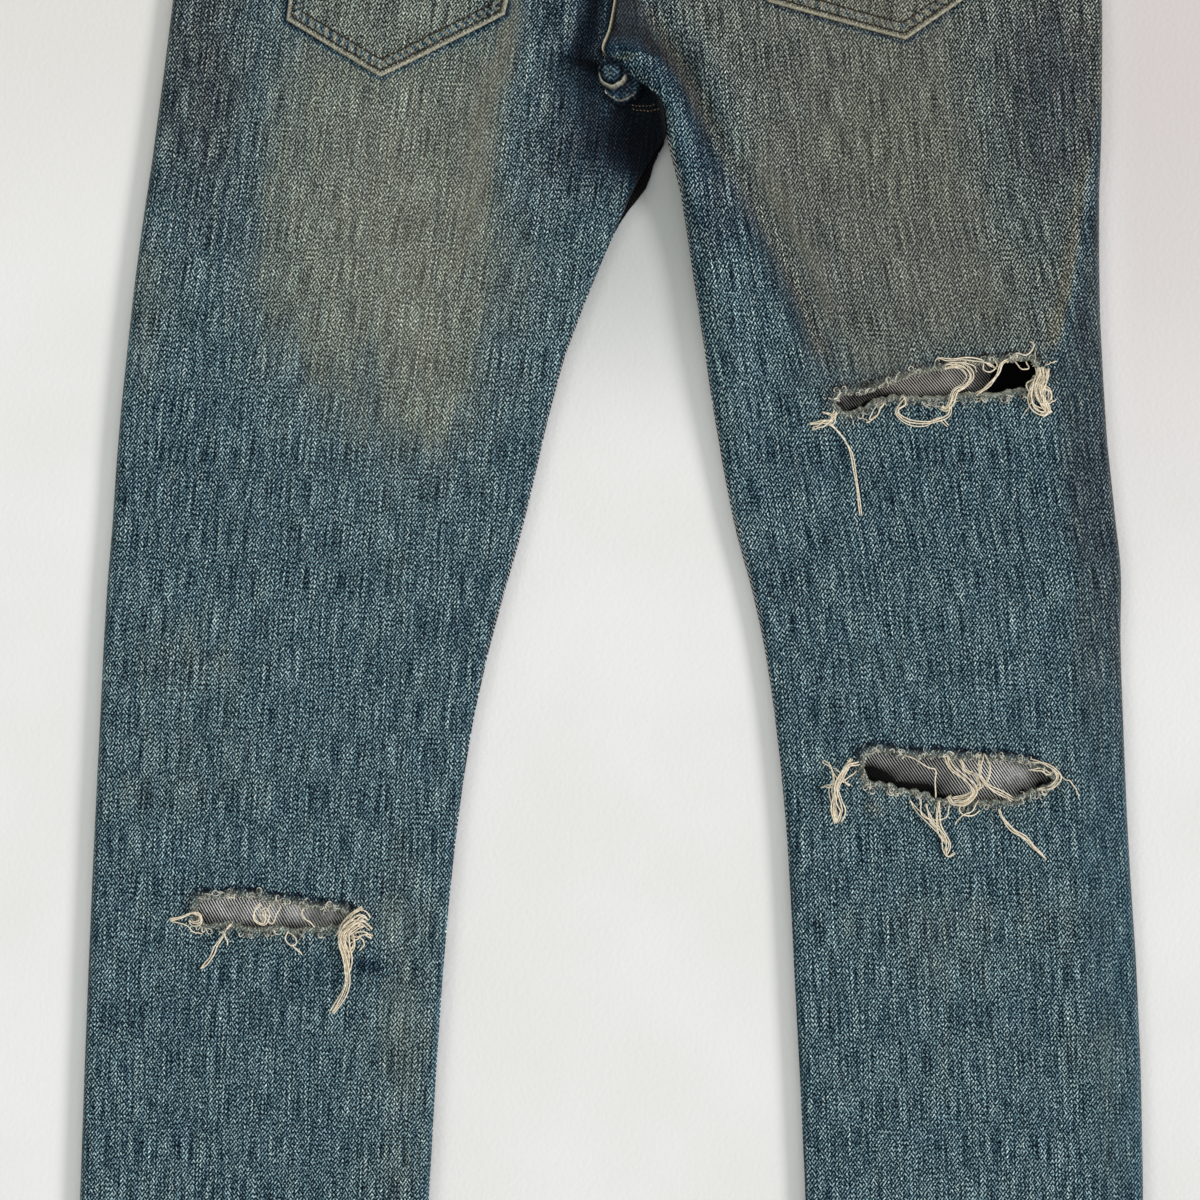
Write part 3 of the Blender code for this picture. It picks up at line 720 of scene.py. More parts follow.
def denim(name):
    """The outside of the cloth: faded indigo warp over a pale weft."""
    finish = Finish(name)
    u, v, fade_and_shade, brown, rubbed, smooth = cloth_values(finish)
    ribs, floats = twill(finish, u, v, TWILL_PITCH, TWILL_LEAN, 0.40, 0.31)
    cross, cross_floats = twill(finish, u, v, TWILL_PITCH * 0.96, -TWILL_LEAN * 0.9, 0.40, 0.77)
    slub = grains(finish, u / 0.0030, v / 0.030, 2.0, 0.65)
    column = grains(finish, u / 0.00095, v / 0.024)
    turn = grains(finish, u / 0.0009 + 9.1, v / 0.005)
    fine = grains(finish, u / 0.0006, v / 0.0011, 0.0, 0.7)
    blotch = grains(finish, u / 0.0045, v / 0.090, 2.0, 0.6)

    turned = 0.10 + turn.between(0.48, 0.60) * 0.80
    lines = ribs + (cross - ribs) * turned
    lengths = floats + (cross_floats - floats) * turned
    chain = grains(finish, u / 0.0008 + 3.3, v / 0.045).between(0.68, 0.76) * 0.30
    weave = lines * (1.05 + (column - 0.5) * 0.8 + (lengths - 0.5) * 1.5 + chain) - 0.17
    weave = weave + (slub - 0.5) * 0.10 + (column - 0.5) * 0.26 + (fine - 0.5) * 0.28
    calm = 0.93 - smooth.atleast(0.0) * 0.50
    level = 0.42 + (weave - 0.42) * calm + smooth * 0.03 + 0.008 + (blotch - 0.5) * 0.05
    gain = 0.045 + level.atleast(0.0).power(1.80) * 3.60

    base = finish.mix(fade_and_shade.between(-1.0, 0.0), linear(2, 16, 38), linear(30, 52, 68))
    base = finish.mix(fade_and_shade.between(0.0, 0.5), base, linear(64, 91, 102))
    base = finish.mix(fade_and_shade.between(0.45, 1.05), base, linear(112, 120, 111))
    base = finish.mix(brown * 0.85, base, linear(106, 102, 89))
    lit_yarn = level.between(0.48, 1.15) * (0.08 + fade_and_shade.between(-0.9, 0.3) * 0.50)
    base = finish.mix(lit_yarn, base, linear(112, 116, 105))
    base = finish.mix(level.between(0.40, 0.0) * 0.90, base, linear(0, 60, 92))
    tint = slub.between(0.62, 0.36) * (1.0 - brown.atmost(1.0)) * 0.20
    base = finish.mix(tint, base, linear(48, 88, 108))
    # Painted shade: much darker where the fade value is far below 0.
    unlit = 0.22 + fade_and_shade.between(-1.5, -0.15) * 0.78
    colour = finish.scaled(base, gain * unlit)
    worn = finish.scaled(finish.mix(fine, linear(134, 132, 114), linear(212, 203, 176)), 0.75 + 0.5 * floats)
    colour = finish.mix(rubbed.atmost(1.0).atleast(0.0), colour, worn)
    return finish.done(weave * calm, 0.22, 0.0003, Base_Color=colour, Roughness=0.88,
                       Specular_IOR_Level=0.08, Sheen_Weight=0.01, Sheen_Roughness=0.5)


def wrong_side(name):
    """The inside of the cloth: pale weft with fine dark lines, leaning the other way, made lighter or darker
    by the painted light and shade in the fourth value.
    """
    finish = Finish(name)
    u, v, _, warm, fuzzy, lit = cloth_values(finish)
    lit = lit + 1.0
    ridge, length = twill(finish, u, v, WRONG_PITCH, WRONG_LEAN, 0.22, 0.53)
    fine = grains(finish, u / 0.0006, v / 0.0008, 1.0, 0.7)
    blotch = grains(finish, u / 0.006, v / 0.010, 2.0, 0.6)
    lines = ridge.power(1.3) * (0.80 + 0.20 * length)
    fuzz = (0.0 - fuzzy).atleast(0.0).atmost(1.0)
    weave = lines + (0.45 - lines) * fuzz * 0.8
    level = weave + (fine - 0.5) * 0.30 + (blotch - 0.5) * 0.22
    dark = finish.mix(warm, linear(10, 13, 19), linear(70, 54, 38))
    light = finish.mix(warm, linear(252, 253, 250), linear(222, 200, 168))
    colour = finish.scaled(finish.mix(level.between(0.22, 0.95), dark, light), lit.atleast(0.01))
    return finish.done(weave, 0.4, 0.0004, Base_Color=colour, Roughness=0.92, Specular_IOR_Level=0.15)


def speckled(name, low, high, scale, detail, limits, bump, rough, shine):
    """A plain cotton, uneven between two colours: yarn, or black cloth."""
    finish = Finish(name)
    fuzz = finish.noise(finish.own_place(), scale, detail, kind="3D")
    colour = finish.mix(fuzz.between(*limits) if limits else fuzz, linear(*low), linear(*high))
    return finish.done(fuzz, bump, 0.0002, Base_Color=colour, Roughness=rough, Specular_IOR_Level=shine)


def yarn(name, low, high, scale=900.0):
    return speckled(name, low, high, scale, 2.0, (0.3, 0.7), 0.4, 0.9, 0.15)


def old_metal(name):
    """The button: dull metal, browner in its hollows."""
    finish = Finish(name)
    spots = finish.noise(finish.own_place(), 700.0, 4.0, kind="3D")
    colour = finish.mix(spots.between(0.35, 0.65), linear(96, 84, 66), linear(176, 158, 128))
    return finish.done(spots, 0.25, 0.0002, Base_Color=colour, Metallic=1.0, Roughness=0.36 + spots * 0.25)


def painted_floor(name):
    """White paint with a light stipple, and painted shade: darker towards the top and the top right, and a
    painted shadow in the gap between the legs.
    """
    finish = Finish(name)
    place = finish.own_place()
    stipple = finish.noise(place, 420.0, 4.0, kind="3D")
    broad = finish.noise(place, 9.0, 3.0, kind="3D")
    over, along, _ = finish.split(place)
    colour = finish.mix(broad.between(0.3, 0.7), linear(233, 233, 231), linear(238, 238, 237))
    # Painted shade, darker towards the top.
    top = along.between(0.10, 0.34) * along.between(1.20, 0.36)
    colour = finish.mix(top, colour, linear(226, 225, 221))
    # Painted shade, darker and a little pink at the top right.
    right = over.between(0.26, 0.30) * along.between(-0.10, 0.30)
    right = right * over.between(0.80, 0.34) * along.between(0.90, 0.34)
    colour = finish.mix(right, colour, linear(216, 209, 208))
    # A painted shadow in the gap between the legs, below the fork.
    fork = over.size().between(0.20, 0.10) * along.between(0.05, 0.185) * along.between(0.27, 0.24)
    colour = finish.mix(fork * 0.85, colour, linear(186, 190, 187))
    return finish.done(stipple, 0.22, 0.0010, Base_Color=colour, Roughness=0.7, Specular_IOR_Level=0.2)


DENIM = denim("faded_denim_and_painted_shade")
INSIDE = wrong_side("denim_wrong_side_and_painted_light")
TOPSTITCH = yarn("brown_topstitch", (34, 26, 22), (66, 50, 38))
TAN_STITCH = yarn("tan_topstitch", (92, 76, 56), (150, 128, 96))
CREAM = yarn("cream_weft", (214, 198, 170), (255, 246, 226))
FRAY = yarn("pale_blue_fray", (58, 70, 74), (244, 240, 222), 320.0)
BLACK = speckled("black_cotton", (1, 1, 2), (4, 4, 5), 1600.0, 1.0, None, 0.3, 0.95, 0.05)
METAL = old_metal("aged_metal")
FLOOR = painted_floor("white_paint_and_painted_shade")


# ---------------------------------------------------------------- meshes


def add_piece(name, mesh, materials, nodes=()):
    """Puts a mesh in the scene as a piece that rides with the jeans."""
    piece = bpy.data.objects.new(name, mesh)
    bpy.context.scene.collection.objects.link(piece)
    for one in materials:
        mesh.materials.append(one)
    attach(piece, "root")
    if nodes:
        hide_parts(*nodes)
    return piece


def cloth_piece(name, x, y, z, tones, grain_x, nodes, thickness=CLOTH, slits=(), hemmed=False,
                mirrored=False, materials=(DENIM, INSIDE)):
    """A wall of cloth from a grid of points on its outer face, rows from the waist down.

    tones are the four values of the colour attribute at each point, painted shade and light among them. A
    slit splits a row of points in two.
    """
    grids = [np.broadcast_to(grid, x.shape) for grid in (x, y, z, x - grain_x, *tones)]
    if mirrored:
        grids = [grid[:, ::-1] for grid in grids]
    x, y, z, u, *tones = grids
    index = np.arange(x.size).reshape(x.shape)
    points = [np.stack([x, y, z], axis=-1).reshape(-1, 3)]
    shades = [np.stack(tones, axis=-1).reshape(-1, 4)]
    maps = [np.stack([u, y], axis=-1).reshape(-1, 2)]
    count = x.size
    top_index = index.copy()
    for _, row, gaping, below_y in slits:
        at = np.flatnonzero(gaping)
        top_index[row, at] = count + np.arange(len(at))
        points.append(np.stack([x[row, at], below_y[at], z[row, at]], axis=-1))
        shades.append(shades[0][index[row, at]])
        maps.append(np.stack([u[row, at], below_y[at]], axis=-1))
        count += len(at)
    quads = np.stack([top_index[:-1, :-1], index[1:, :-1], index[1:, 1:], top_index[:-1, 1:]], axis=-1)
    points, shades, maps = (np.concatenate(v) for v in (points, shades, maps))
    mesh = bpy.data.meshes.new(name)
    mesh.from_pydata(points.tolist(), [], quads.reshape(-1, 4).tolist())
    mesh.shade_smooth()
    colours = mesh.attributes.new("dye_and_shade", "FLOAT_COLOR", "POINT")
    colours.data.foreach_set("color", shades.astype(np.float32).ravel())
    layer = mesh.uv_layers.new(name="cloth")
    corners = np.empty(len(mesh.loops), dtype=np.int32)
    mesh.loops.foreach_get("vertex_index", corners)
    layer.data.foreach_set("uv", maps[corners].astype(np.float32).ravel())
    piece = add_piece(name, mesh, materials, nodes)
    wall = piece.modifiers.new("thickness", "SOLIDIFY")
    wall.offset = -1.0
    wall.material_offset = 1
    wall.thickness = HEM_FOLD if hemmed else thickness
    if hemmed:
        weights = piece.vertex_groups.new(name="layers")
        share = np.clip(layers_at(y).ravel() / HEM_FOLD, 0, 1).round(3)
        for level in np.unique(share):
            weights.add(np.flatnonzero(share == level).tolist(), float(level), "REPLACE")
        if slits:
            weights.add(list(range(x.size, count)), CLOTH / HEM_FOLD, "REPLACE")
        wall.vertex_group = "layers"
    return piece


def spaced(left, right, edge, step):
    """Places from left to right: close together near both ends, then about a step apart."""
    near = np.array(edge)
    count = max(int(round((right - left - 2 * near[-1]) / step)), 1)
    inside = np.linspace(near[-1], right - left - near[-1], count + 1)[1:-1]
    return left + np.concatenate([near, inside, (right - left) - near[::-1]])


# How far in from a panel's edge its first columns are.
SOFT_EDGE = (0.0, 0.0004, 0.0010, 0.0018, 0.0028, 0.0041, 0.0058, 0.0080)


def leg_rows(top, front):
    """Levels from a panel's top seam to its hem, close together at rips and at the hem."""
    fine = [np.arange(HEM_Y, HEM_Y + 0.020, 0.0011)]
    for rip in RIPS.values():
        level = np.array(rip["upper"])[[0, -1], 1].mean()
        fine.append(np.arange(level - 0.022, level + 0.024, 0.0028 if front else 0.0015))
    if not front:
        fine.append(np.arange(0.195, 0.300, 0.0018))
    coarse = np.arange(HEM_Y + 0.02, top, 0.0060 if front else 0.0042)
    rows = np.unique(np.concatenate([*fine, coarse, [top]]).round(5))
    keep = [rows[0]]
    for level in rows[1:]:
        if level - keep[-1] > 0.0010:
            keep.append(level)
    keep[-1] = top
    return np.array(keep[::-1])


def row_ends(side, level, inner, place):
    """Where a row of a panel starts and ends, when place gives its height from the side seam's x."""
    for _ in range(4):
        outer = float(side_edge(side, level))
        level = float(place(outer))
    return sorted((inner, outer))


def leg_panel(side, front):
    """A front or back panel of a leg, from its top seam to its hem."""

    def top_line(x):
        return (waist_seam(x, True) if front else yoke_seam(x)) - SEAM_GAP / 2

    top = float(top_line(inner_edge(side, RISE_TOP)))
    levels = leg_rows(top, front)
    fractions = spaced(0.0, PANEL_WIDTH, SOFT_EDGE, 0.0042 if front else 0.0026) / PANEL_WIDTH
    near = np.array(SOFT_EDGE)
    x = np.empty((len(levels), len(fractions)))
    y = np.empty_like(x)
    for row, level in enumerate(levels):
        share = (level - HEM_Y) / (top - HEM_Y)

        def place(x, share=share):
            return HEM_Y + (top_line(x) - HEM_Y) * share

        gap = SEAM_GAP / 2
        if front and side == "left":
            # The left front reaches over the fly, and a little past its inner edge by the fork, where that
            # sliver is darkened as a painted shadow.
            gap -= 0.018 * float(ease(level, 0.360, 0.375)) + 0.0056 * float(bell(level - 0.2055, 0.0120))
        inner = float(inner_edge(side, level)) + (gap if side == "right" else -gap)
        low, high = row_ends(side, level, inner, place)
        x[row] = low + (high - low) * fractions
        x[row, : len(near)] = low + near
        x[row, -len(near) :] = high - near[::-1]
        y[row] = place(x[row])
    slits = ()
    if front:
        z = front_height(side, x, y)
        tones = front_dye_and_shade(side, x, y)
    else:
        y, slits = open_rips(side, x, y)
        far, above = near_rip(side, x, y)
        curl = np.where(above > 0, 0.0016, 0.0009) * bell(far, 0.0032)
        z = back_height(side, x, y) + curl * (1 + 0.6 * wander(x, (1.0, 0.0071, 0.3), (0.7, 0.0033, 1.9)))
        fade_and_shade, brown, rubbed, smooth = dye_and_shade(side, x, y, z)
        # A dark line round each pocket is painted shade at its edge, with the indigo left unfaded there; a
        # wavering dark line above each rip's upper fray is a painted shadow.
        under = bell(from_outline(x, y, POCKETS[side])[0] - 0.0009, 0.0009)
        line = 1 + 0.5 * wander(x, (1.0, 0.0130, 0.3), (0.8, 0.0057, 1.9))
        fade_and_shade = fade_and_shade - 1.3 * under + 0.10 * bell(far, 0.003)
        fade_and_shade = fade_and_shade - 1.5 * line * bell(far - 0.0050, 0.0012) * (above > 0)
        tones = (fade_and_shade, brown - 0.5 * under, rubbed + 0.28 * bell(far - 0.0008, 0.0022), smooth)
    inner_x = inner_edge(side, np.minimum(y, 0.2))
    if side == "left":
        grain_x = side_edge(side, y) * 0.9 + inner_x * 0.1
    else:
        grain_x = side_edge(side, y) * 0.5 + inner_x * 0.5 - 0.105 * np.maximum(y - 0.085, 0.0)
    name = ("front_" if front else "back_") + side
    return cloth_piece(name + "_cloth", x, y, z, tones, grain_x, (name,), slits=slits, hemmed=True,
                       mirrored=front)


# Where the inside of the fronts, seen through the rips, lies in more or less light.
INSIDE_LIGHT = (
    (138, 86, 14, 12, -0.45),
    (180, 98, 30, 16, -0.2),
    (149, 90, 13, 10, -0.3),
    (211, 100, 10, 14, -0.8),
    (172, -118.5, 34, 14, -0.4),
    (150, -120.5, 10, 5.5, -0.95),
    (176, -128, 18, 5.5, -0.95),
    (231, -127, 9, 2.5, -0.8),
    (165, -116, 20, 10, -0.22),
    (147, -116, 5, 6, -0.5),
    (228, -118, 14, 10, 0.75),
    (242, -121, 6, 5, -0.95),
)


def front_dye_and_shade(side, x, y):
    """The front is worn pale on the thighs and knees, and dark at the sides and in the fly. Its fourth value
    is painted light and shade on its inside, seen through the rips.
    """
    out = -1.0 if side == "left" else 1.0
    middle = (side_edge(side, y) + inner_edge(side, y)) / 2
    thigh = blob(x, y, middle, 0.120, 0.055, 0.130)
    fade_and_shade = 0.40 + 0.50 * thigh + 0.30 * blob(x, y, middle, -0.150, 0.050, 0.070)
    rubbed = 0.45 * bell(beside(x, y, pocket_mouth(side))[0], 0.0020) + hem_wear(y)
    inside = patches(INSIDE_LIGHT, x, y)
    if side == "left":
        # Painted light on the left front's inside: paler, with a blurred weave, in the knee's rip; and a
        # dark painted shadow on the sliver of it that shows past the back's inner edge by the fork.
        painted_light_in_knee_rip = blob(x, y, -0.180, -0.194, 0.060, 0.014)
        rubbed += 0.25 * bell(beside(x, y, fly_line())[0], 0.0030) - 0.85 * painted_light_in_knee_rip
        inside += 0.62 * painted_light_in_knee_rip - 1.3 * blob(x, y, 0.024, 0.205, 0.050, 0.050)
    for _, rip in rips_of(side):
        # A painted shadow inside each rip, along its lower edge.
        inside -= 0.85 * bell(beside(x, y, rip["lower"])[0] - 0.0004, 0.0010)
    rubbed -= 1.1 * blob(x, y, 0.229, -0.118, 0.012, 0.011) + 0.4 * blob(x, y, -0.154, -0.196, 0.014, 0.008)
    whisker = 0.0 * x
    for level, lean in ((0.262, 0.10), (0.244, 0.22), (0.226, 0.34)):
        whisker += bell(y - level - lean * out * (x - WAIST_X), 0.006)
    fade_and_shade += 0.22 * whisker * bell(abs(x - WAIST_X) - 0.070, 0.050)
    return fade_and_shade, 0.25 * thigh, rubbed, inside


def pocket_mouth(side):
    """The edge of a front pocket's mouth, from the waist to the side seam."""
    out = -1 if side == "left" else 1
    corner = float(side_edge(side, 0.480))
    start = corner - out * 0.098
    turn = np.radians(np.linspace(0, 90, 9))
    x = corner - out * 0.098 * np.cos(turn)
    y = float(waist_seam(start, True)) - 0.078 * np.sin(turn)
    return tuple(zip(x.tolist(), y.tolist(), strict=True))


def fly_line():
    """The curved seam of the fly, on the left front."""
    top = float(waist_seam(WAIST_X, True))
    x = WAIST_X - 0.034
    turn = np.radians(np.linspace(0, 80, 6))
    bend = [(x + 0.030 * (1 - math.cos(a)), top - 0.095 - 0.036 * math.sin(a)) for a in turn]
    return ((x, top), (x, top - 0.050), *bend)


# ---------------------------------------------------------------- yokes, waistband, pockets, loops


def yoke(side):
    """A yoke, between the top of a back panel and the waistband."""
    fractions = spaced(0.0, YOKE_WIDTH, SOFT_EDGE, 0.0030) / YOKE_WIDTH
    x = np.empty((40, len(fractions)))
    y = np.empty_like(x)
    gap = SEAM_GAP / 2
    inner = float(inner_edge(side, RISE_TOP)) + (gap if side == "right" else -gap)
    for row, share in enumerate(np.linspace(0, 1, 40)):

        def place(x, share=share):
            high = waist_seam(x) - SEAM_GAP
            return high + (yoke_seam(x) + gap - high) * share

        low, high = row_ends(side, 0.470, inner, place)
        x[row] = low + (high - low) * fractions
        y[row] = place(x[row])
    foot = y - yoke_seam(x)
    z = back_height(side, x, y) + 0.0004 * bell(foot - 0.004, 0.004)
    fade_and_shade, brown, rubbed, smooth = dye_and_shade(side, x, y, z)
    rubbed = rubbed * 0.4 + 0.5 * bell(foot, 0.0014) + 0.14 * bell(foot - 0.004, 0.004)
    tones = (fade_and_shade + 0.05, brown, rubbed, smooth)
    return cloth_piece(f"yoke_{side}_cloth", x, y, z, tones, 0.3 * x, (f"yoke_{side}",))


def band_path():
    """The waistband's outer face seen from above, from the fly round the left side: x, z, front."""
    left, right = WAIST_X - WAIST_HALF, WAIST_X + WAIST_HALF
    path = [(x, band_height(x, True), 1.0) for x in np.linspace(WAIST_X + BAND_LAP, left + 0.012, 60)]
    for edge, out, order in ((left, -1, 1), (right, 1, -1)):
        low, high = band_height(edge, True), band_height(edge)
        radius = (high - low) / 2
        bend = np.radians(np.linspace(-90, 90, 13))
        path += [(edge + out * radius * (math.cos(a) - 1), low + radius * (1 + math.sin(a)), 0.0)
                 for a in bend[::order]]
        if out < 0:
            path += [(x, band_height(x), 0.0) for x in np.linspace(left + 0.012, right - 0.012, 130)]
    over = np.linspace(right - 0.012, WAIST_X - BAND_LAP, 60)
    return np.array(path + [(x, band_height(x, True) + fly_rise(x, 0.5), 1.0) for x in over])


def band_top(path):
    """The height of the waistband's top edge along its path, and 1 where its outer face is up or -1."""
    front = path[:, 2] > 0
    return np.where(front, waist_top(path[:, 0], True), waist_top(path[:, 0])), np.where(front, -1.0, 1.0)


def waistband():
    """The waistband, one strip round the waist, puckered along both rows of stitches."""
    path = band_path()
    top, out = band_top(path)
    drop = spaced(0.0, BAND_HEIGHT, (0.0, 0.0004, 0.0010, 0.0020, 0.0034), 0.0016)
    x = np.broadcast_to(path[:, 0], (len(drop), len(path)))
    y = top - drop[:, None]
    edge = np.minimum(drop, BAND_HEIGHT - drop)[:, None]
    length = np.concatenate([[0], np.cumsum(np.hypot(np.diff(path[:, 0]), np.diff(path[:, 1])))])
    wave = np.sin(length / 0.0011)
    groove = -0.0003 * bell(edge - BAND_ROW, 0.0009) - 0.0005 * rounded(edge, 0.0012)
    z = path[:, 1] + out * (groove + 0.00018 * bell(edge - 0.0060, 0.003) * wave)
    rubbed = 0.55 * bell(edge, 0.0013) + 0.16 * bell(edge - 0.005, 0.002) * (0.5 + 0.5 * wave)
    tones = (0.42 + wander(length, (0.05, 0.09, 0.2), (0.04, 0.037, 1.0)), 0.12, rubbed, 0.0)
    return cloth_piece("waistband_cloth", x, y, z, tones, x - length, ("waistband",), thickness=BAND)


# Each pocket's tip, its two lower corners and its two top ones.
POCKETS = {
    "left": mm(-121.8, 264.8, -173.4, 296.2, -53.4, 298.9, -155.8, 427.8, -23.8, 423.8),
    "right": mm(166.6, 285.2, 90.7, 306.1, 216.7, 320, 62.6, 437.2, 199.6, 450.2),
}
INNER_ROW, OUTER_ROW = 0.0084, 0.0031


# The rolled end of the inner leg seams: each ring's middle, radius and height, then its tones.
CURL = (
    (4.4, 266.2, 0, 15.2, 0.3, 0),
    (4.4, 266.2, 1.8, 15.3, 0.36, 0),
    (4.4, 266.2, 3.4, 14.9, 0.3, 0),
    (4.6, 266.4, 4.6, 13.6, -0.5, 0),
    (5, 266.6, 5.8, 13.2, -1.3, 0),
    (5.4, 266.8, 6.9, 14.7, -0.4, 0),
    (5.4, 266.8, 7.4, 15.1, 0, 1),
    (5.6, 266.6, 7.9, 14.6, -0.2, 0.5),
    (6.2, 266, 8.5, 12.8, -1, 0),
    (8.4, 264, 9.1, 11.4, -0.35, 0),
    (10, 262.8, 9.6, 10.6, -0.3, 0),
    (10.6, 262.4, 10, 10.8, -0.1, 0.8),
    (10.8, 262.2, 10.5, 10.1, -0.6, 0),
    (11.2, 261.6, 11.6, 7, -1.2, 0),
    (11.6, 261.2, 12.4, 4.2, -1.5, 0),
)


def crotch_curl():
    """Where the inner leg seams meet under the roll: a small scroll of cloth with corded edges."""
    turn = np.radians(np.linspace(-180, 180, 73))[None, :]
    at = np.arange(0, len(CURL) - 0.5, 0.5)
    cx, cy, radius, z, fade_and_shade, rubbed = (np.interp(at, range(len(CURL)), v)[:, None] for v in zip(*CURL))
    cx, cy, radius, z = cx / 1000, cy / 1000, radius / 1000, z / 1000
    wobble = 1 + 0.03 * np.sin(turn * 3 + 0.7) + 0.02 * np.sin(turn * 7)
    x = cx + radius * wobble * np.cos(turn)
    y = cy + radius * wobble * np.sin(turn)
    z = z - 0.0022 * ease(-np.sin(turn), -1.2, 0.4) * ease(radius, 0.004, 0.009) + 0.0003 * np.sin(turn * 9)
    dashes = 0.5 + 0.5 * np.sin(turn * 34)
    rubbed = rubbed * np.where(radius > 0.009, dashes, 0.85 + 0.15 * dashes)
    degrees = np.degrees(turn)
    low_side = ease(-degrees, 8.0, 30.0) * ease(degrees, -178.0, -165.0)
    low_side = np.where(radius > 0.009, ease(-degrees, 30.0, 50.0) * ease(degrees, -176.0, -150.0), low_side)
    tones = (fade_and_shade - 0.75 * (1 - low_side) * (rubbed > 0.3), 0.10, rubbed * low_side, 0.80)
    return cloth_piece("crotch_curl", x, y, z, tones, 0.4 * x, (), thickness=0.0007)


def from_outline(x, y, corners):
    """Distance inside a pocket's outline, and the place along it."""
    tip, low_left, low_right, top_left, top_right = corners
    far, share = beside(x, y, (top_left, low_left, tip, low_right, top_right, top_left))
    return abs(far), share


def pocket_height(side, x, y):
    return back_height(side, x, y) + 0.0004 + POCKET_CLOTH


def back_pocket(side):
    """A patch pocket: turned edges, two rows of stitches sunk in it, and puckers between them."""
    tip, low_left, low_right, top_left, top_right = (np.array(p) for p in POCKETS[side])
    edge = tuple(np.linspace(0.0, 0.0120, 14))
    down = spaced(0.0, 0.150, edge, 0.0017) / 0.150
    over = spaced(0.0, 0.140, edge, 0.0017) / 0.140
    over = np.unique(np.append(over, 0.5).round(6)) * 2 - 1
    place = over[None, :, None]
    low = tip + (np.where(place < 0, low_left, low_right) - tip) * abs(place)
    high = top_left * (1 - place) / 2 + top_right * (1 + place) / 2
    x, y = np.moveaxis(high + (low - high) * down[:, None, None], -1, 0)
    inset, share = from_outline(x, y, POCKETS[side])
    length = share * 0.56
    z = pocket_height(side, x, y) + 0.0006 * fall(inset, 0.0090, 0.0125)
    z = z - 0.00045 * bell(inset - OUTER_ROW, 0.0008) - 0.00040 * bell(inset - INNER_ROW, 0.0008)
    rope = np.sin(2 * math.pi * (length + 0.0016 * np.sin(length / 0.011)) / 0.0049 + inset / 0.0016)
    band = ease(inset, OUTER_ROW, 0.0044) * fall(inset, 0.0072, INNER_ROW)
    z = z - 0.0007 * rounded(inset, 0.0011) + 0.00028 * rope * band
    fade_and_shade, brown, rubbed, smooth = dye_and_shade(side, x, y, z)
    worn = 0.16 * ease(inset, 0.009, 0.014) * blob(x, y, *(tip + (0.01, 0.07)), 0.05, 0.05)
    pull = np.clip(1.5 * rope + 0.6 * np.sin(length * 900.0), -1, 1)
    fade_and_shade = fade_and_shade + 0.10 + worn + band * (0.55 * pull - 0.35)
    brown = brown + band * (0.60 * np.clip(pull, 0, 1) - 0.30) + 0.10
    rubbed = rubbed * 0.2 + 0.85 * bell(inset - 0.0006, 0.0011) * (0.85 + 0.15 * rope)
    rubbed = rubbed + 0.32 * band * np.clip(pull, 0, 1)
    return cloth_piece(f"pocket_{side}_cloth", x, y, z, (fade_and_shade, brown, rubbed, smooth), 0.15 * y,
                       (f"pocket_{side}",), thickness=POCKET_CLOTH)


# The belt loops: how far each is from the middle, and whether it is in front.
LOOPS = {
    "loop_back_left": (-0.112, False), "loop_back_middle": (0.0, False),
    "loop_back_right": (0.112, False), "loop_front_left": (-0.088, True),
    "loop_front_right": (0.088, True),
}
LOOP_WIDTH, LOOP_THICK, LOOP_BELOW = 0.011, 0.0018, 0.009


def belt_loop(name):
    """A belt loop over the waistband, its edges and ends turned in."""
    offset, front = LOOPS[name]
    low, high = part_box(name)
    over = np.linspace(-0.5, 0.5, 15)
    x = WAIST_X + offset + over[None, :] * LOOP_WIDTH + np.zeros((44, 1))
    share = np.linspace(0, 1, 44)[:, None]
    y = waist_top(x, front) + 0.001 - (BAND_HEIGHT + LOOP_BELOW + 0.001) * share
    out = -1.0 if front else 1.0
    edge = (0.5 - abs(over))[None, :] * LOOP_WIDTH
    end = np.minimum(share, 1 - share) * 0.050
    turned = 0.0005 * rounded(edge, 0.0014) + 0.0004 * bell(edge - 0.0026, 0.0007)
    z = (low[2] if front else high[2] - 0.0004) - out * (turned + 0.0006 * rounded(end, 0.003))
    rubbed = 0.5 * bell(edge, 0.0011) + 0.5 * bell(end, 0.0012) + 0.10
    grain_x = 0.1 * (x[:, ::-1] if front else x)
    return cloth_piece(name + "_cloth", x, y, z, (0.5, 0.15, rubbed, 0.0), grain_x, (name,),
                       thickness=LOOP_THICK, mirrored=front)


# ---------------------------------------------------------------- stitches and fray


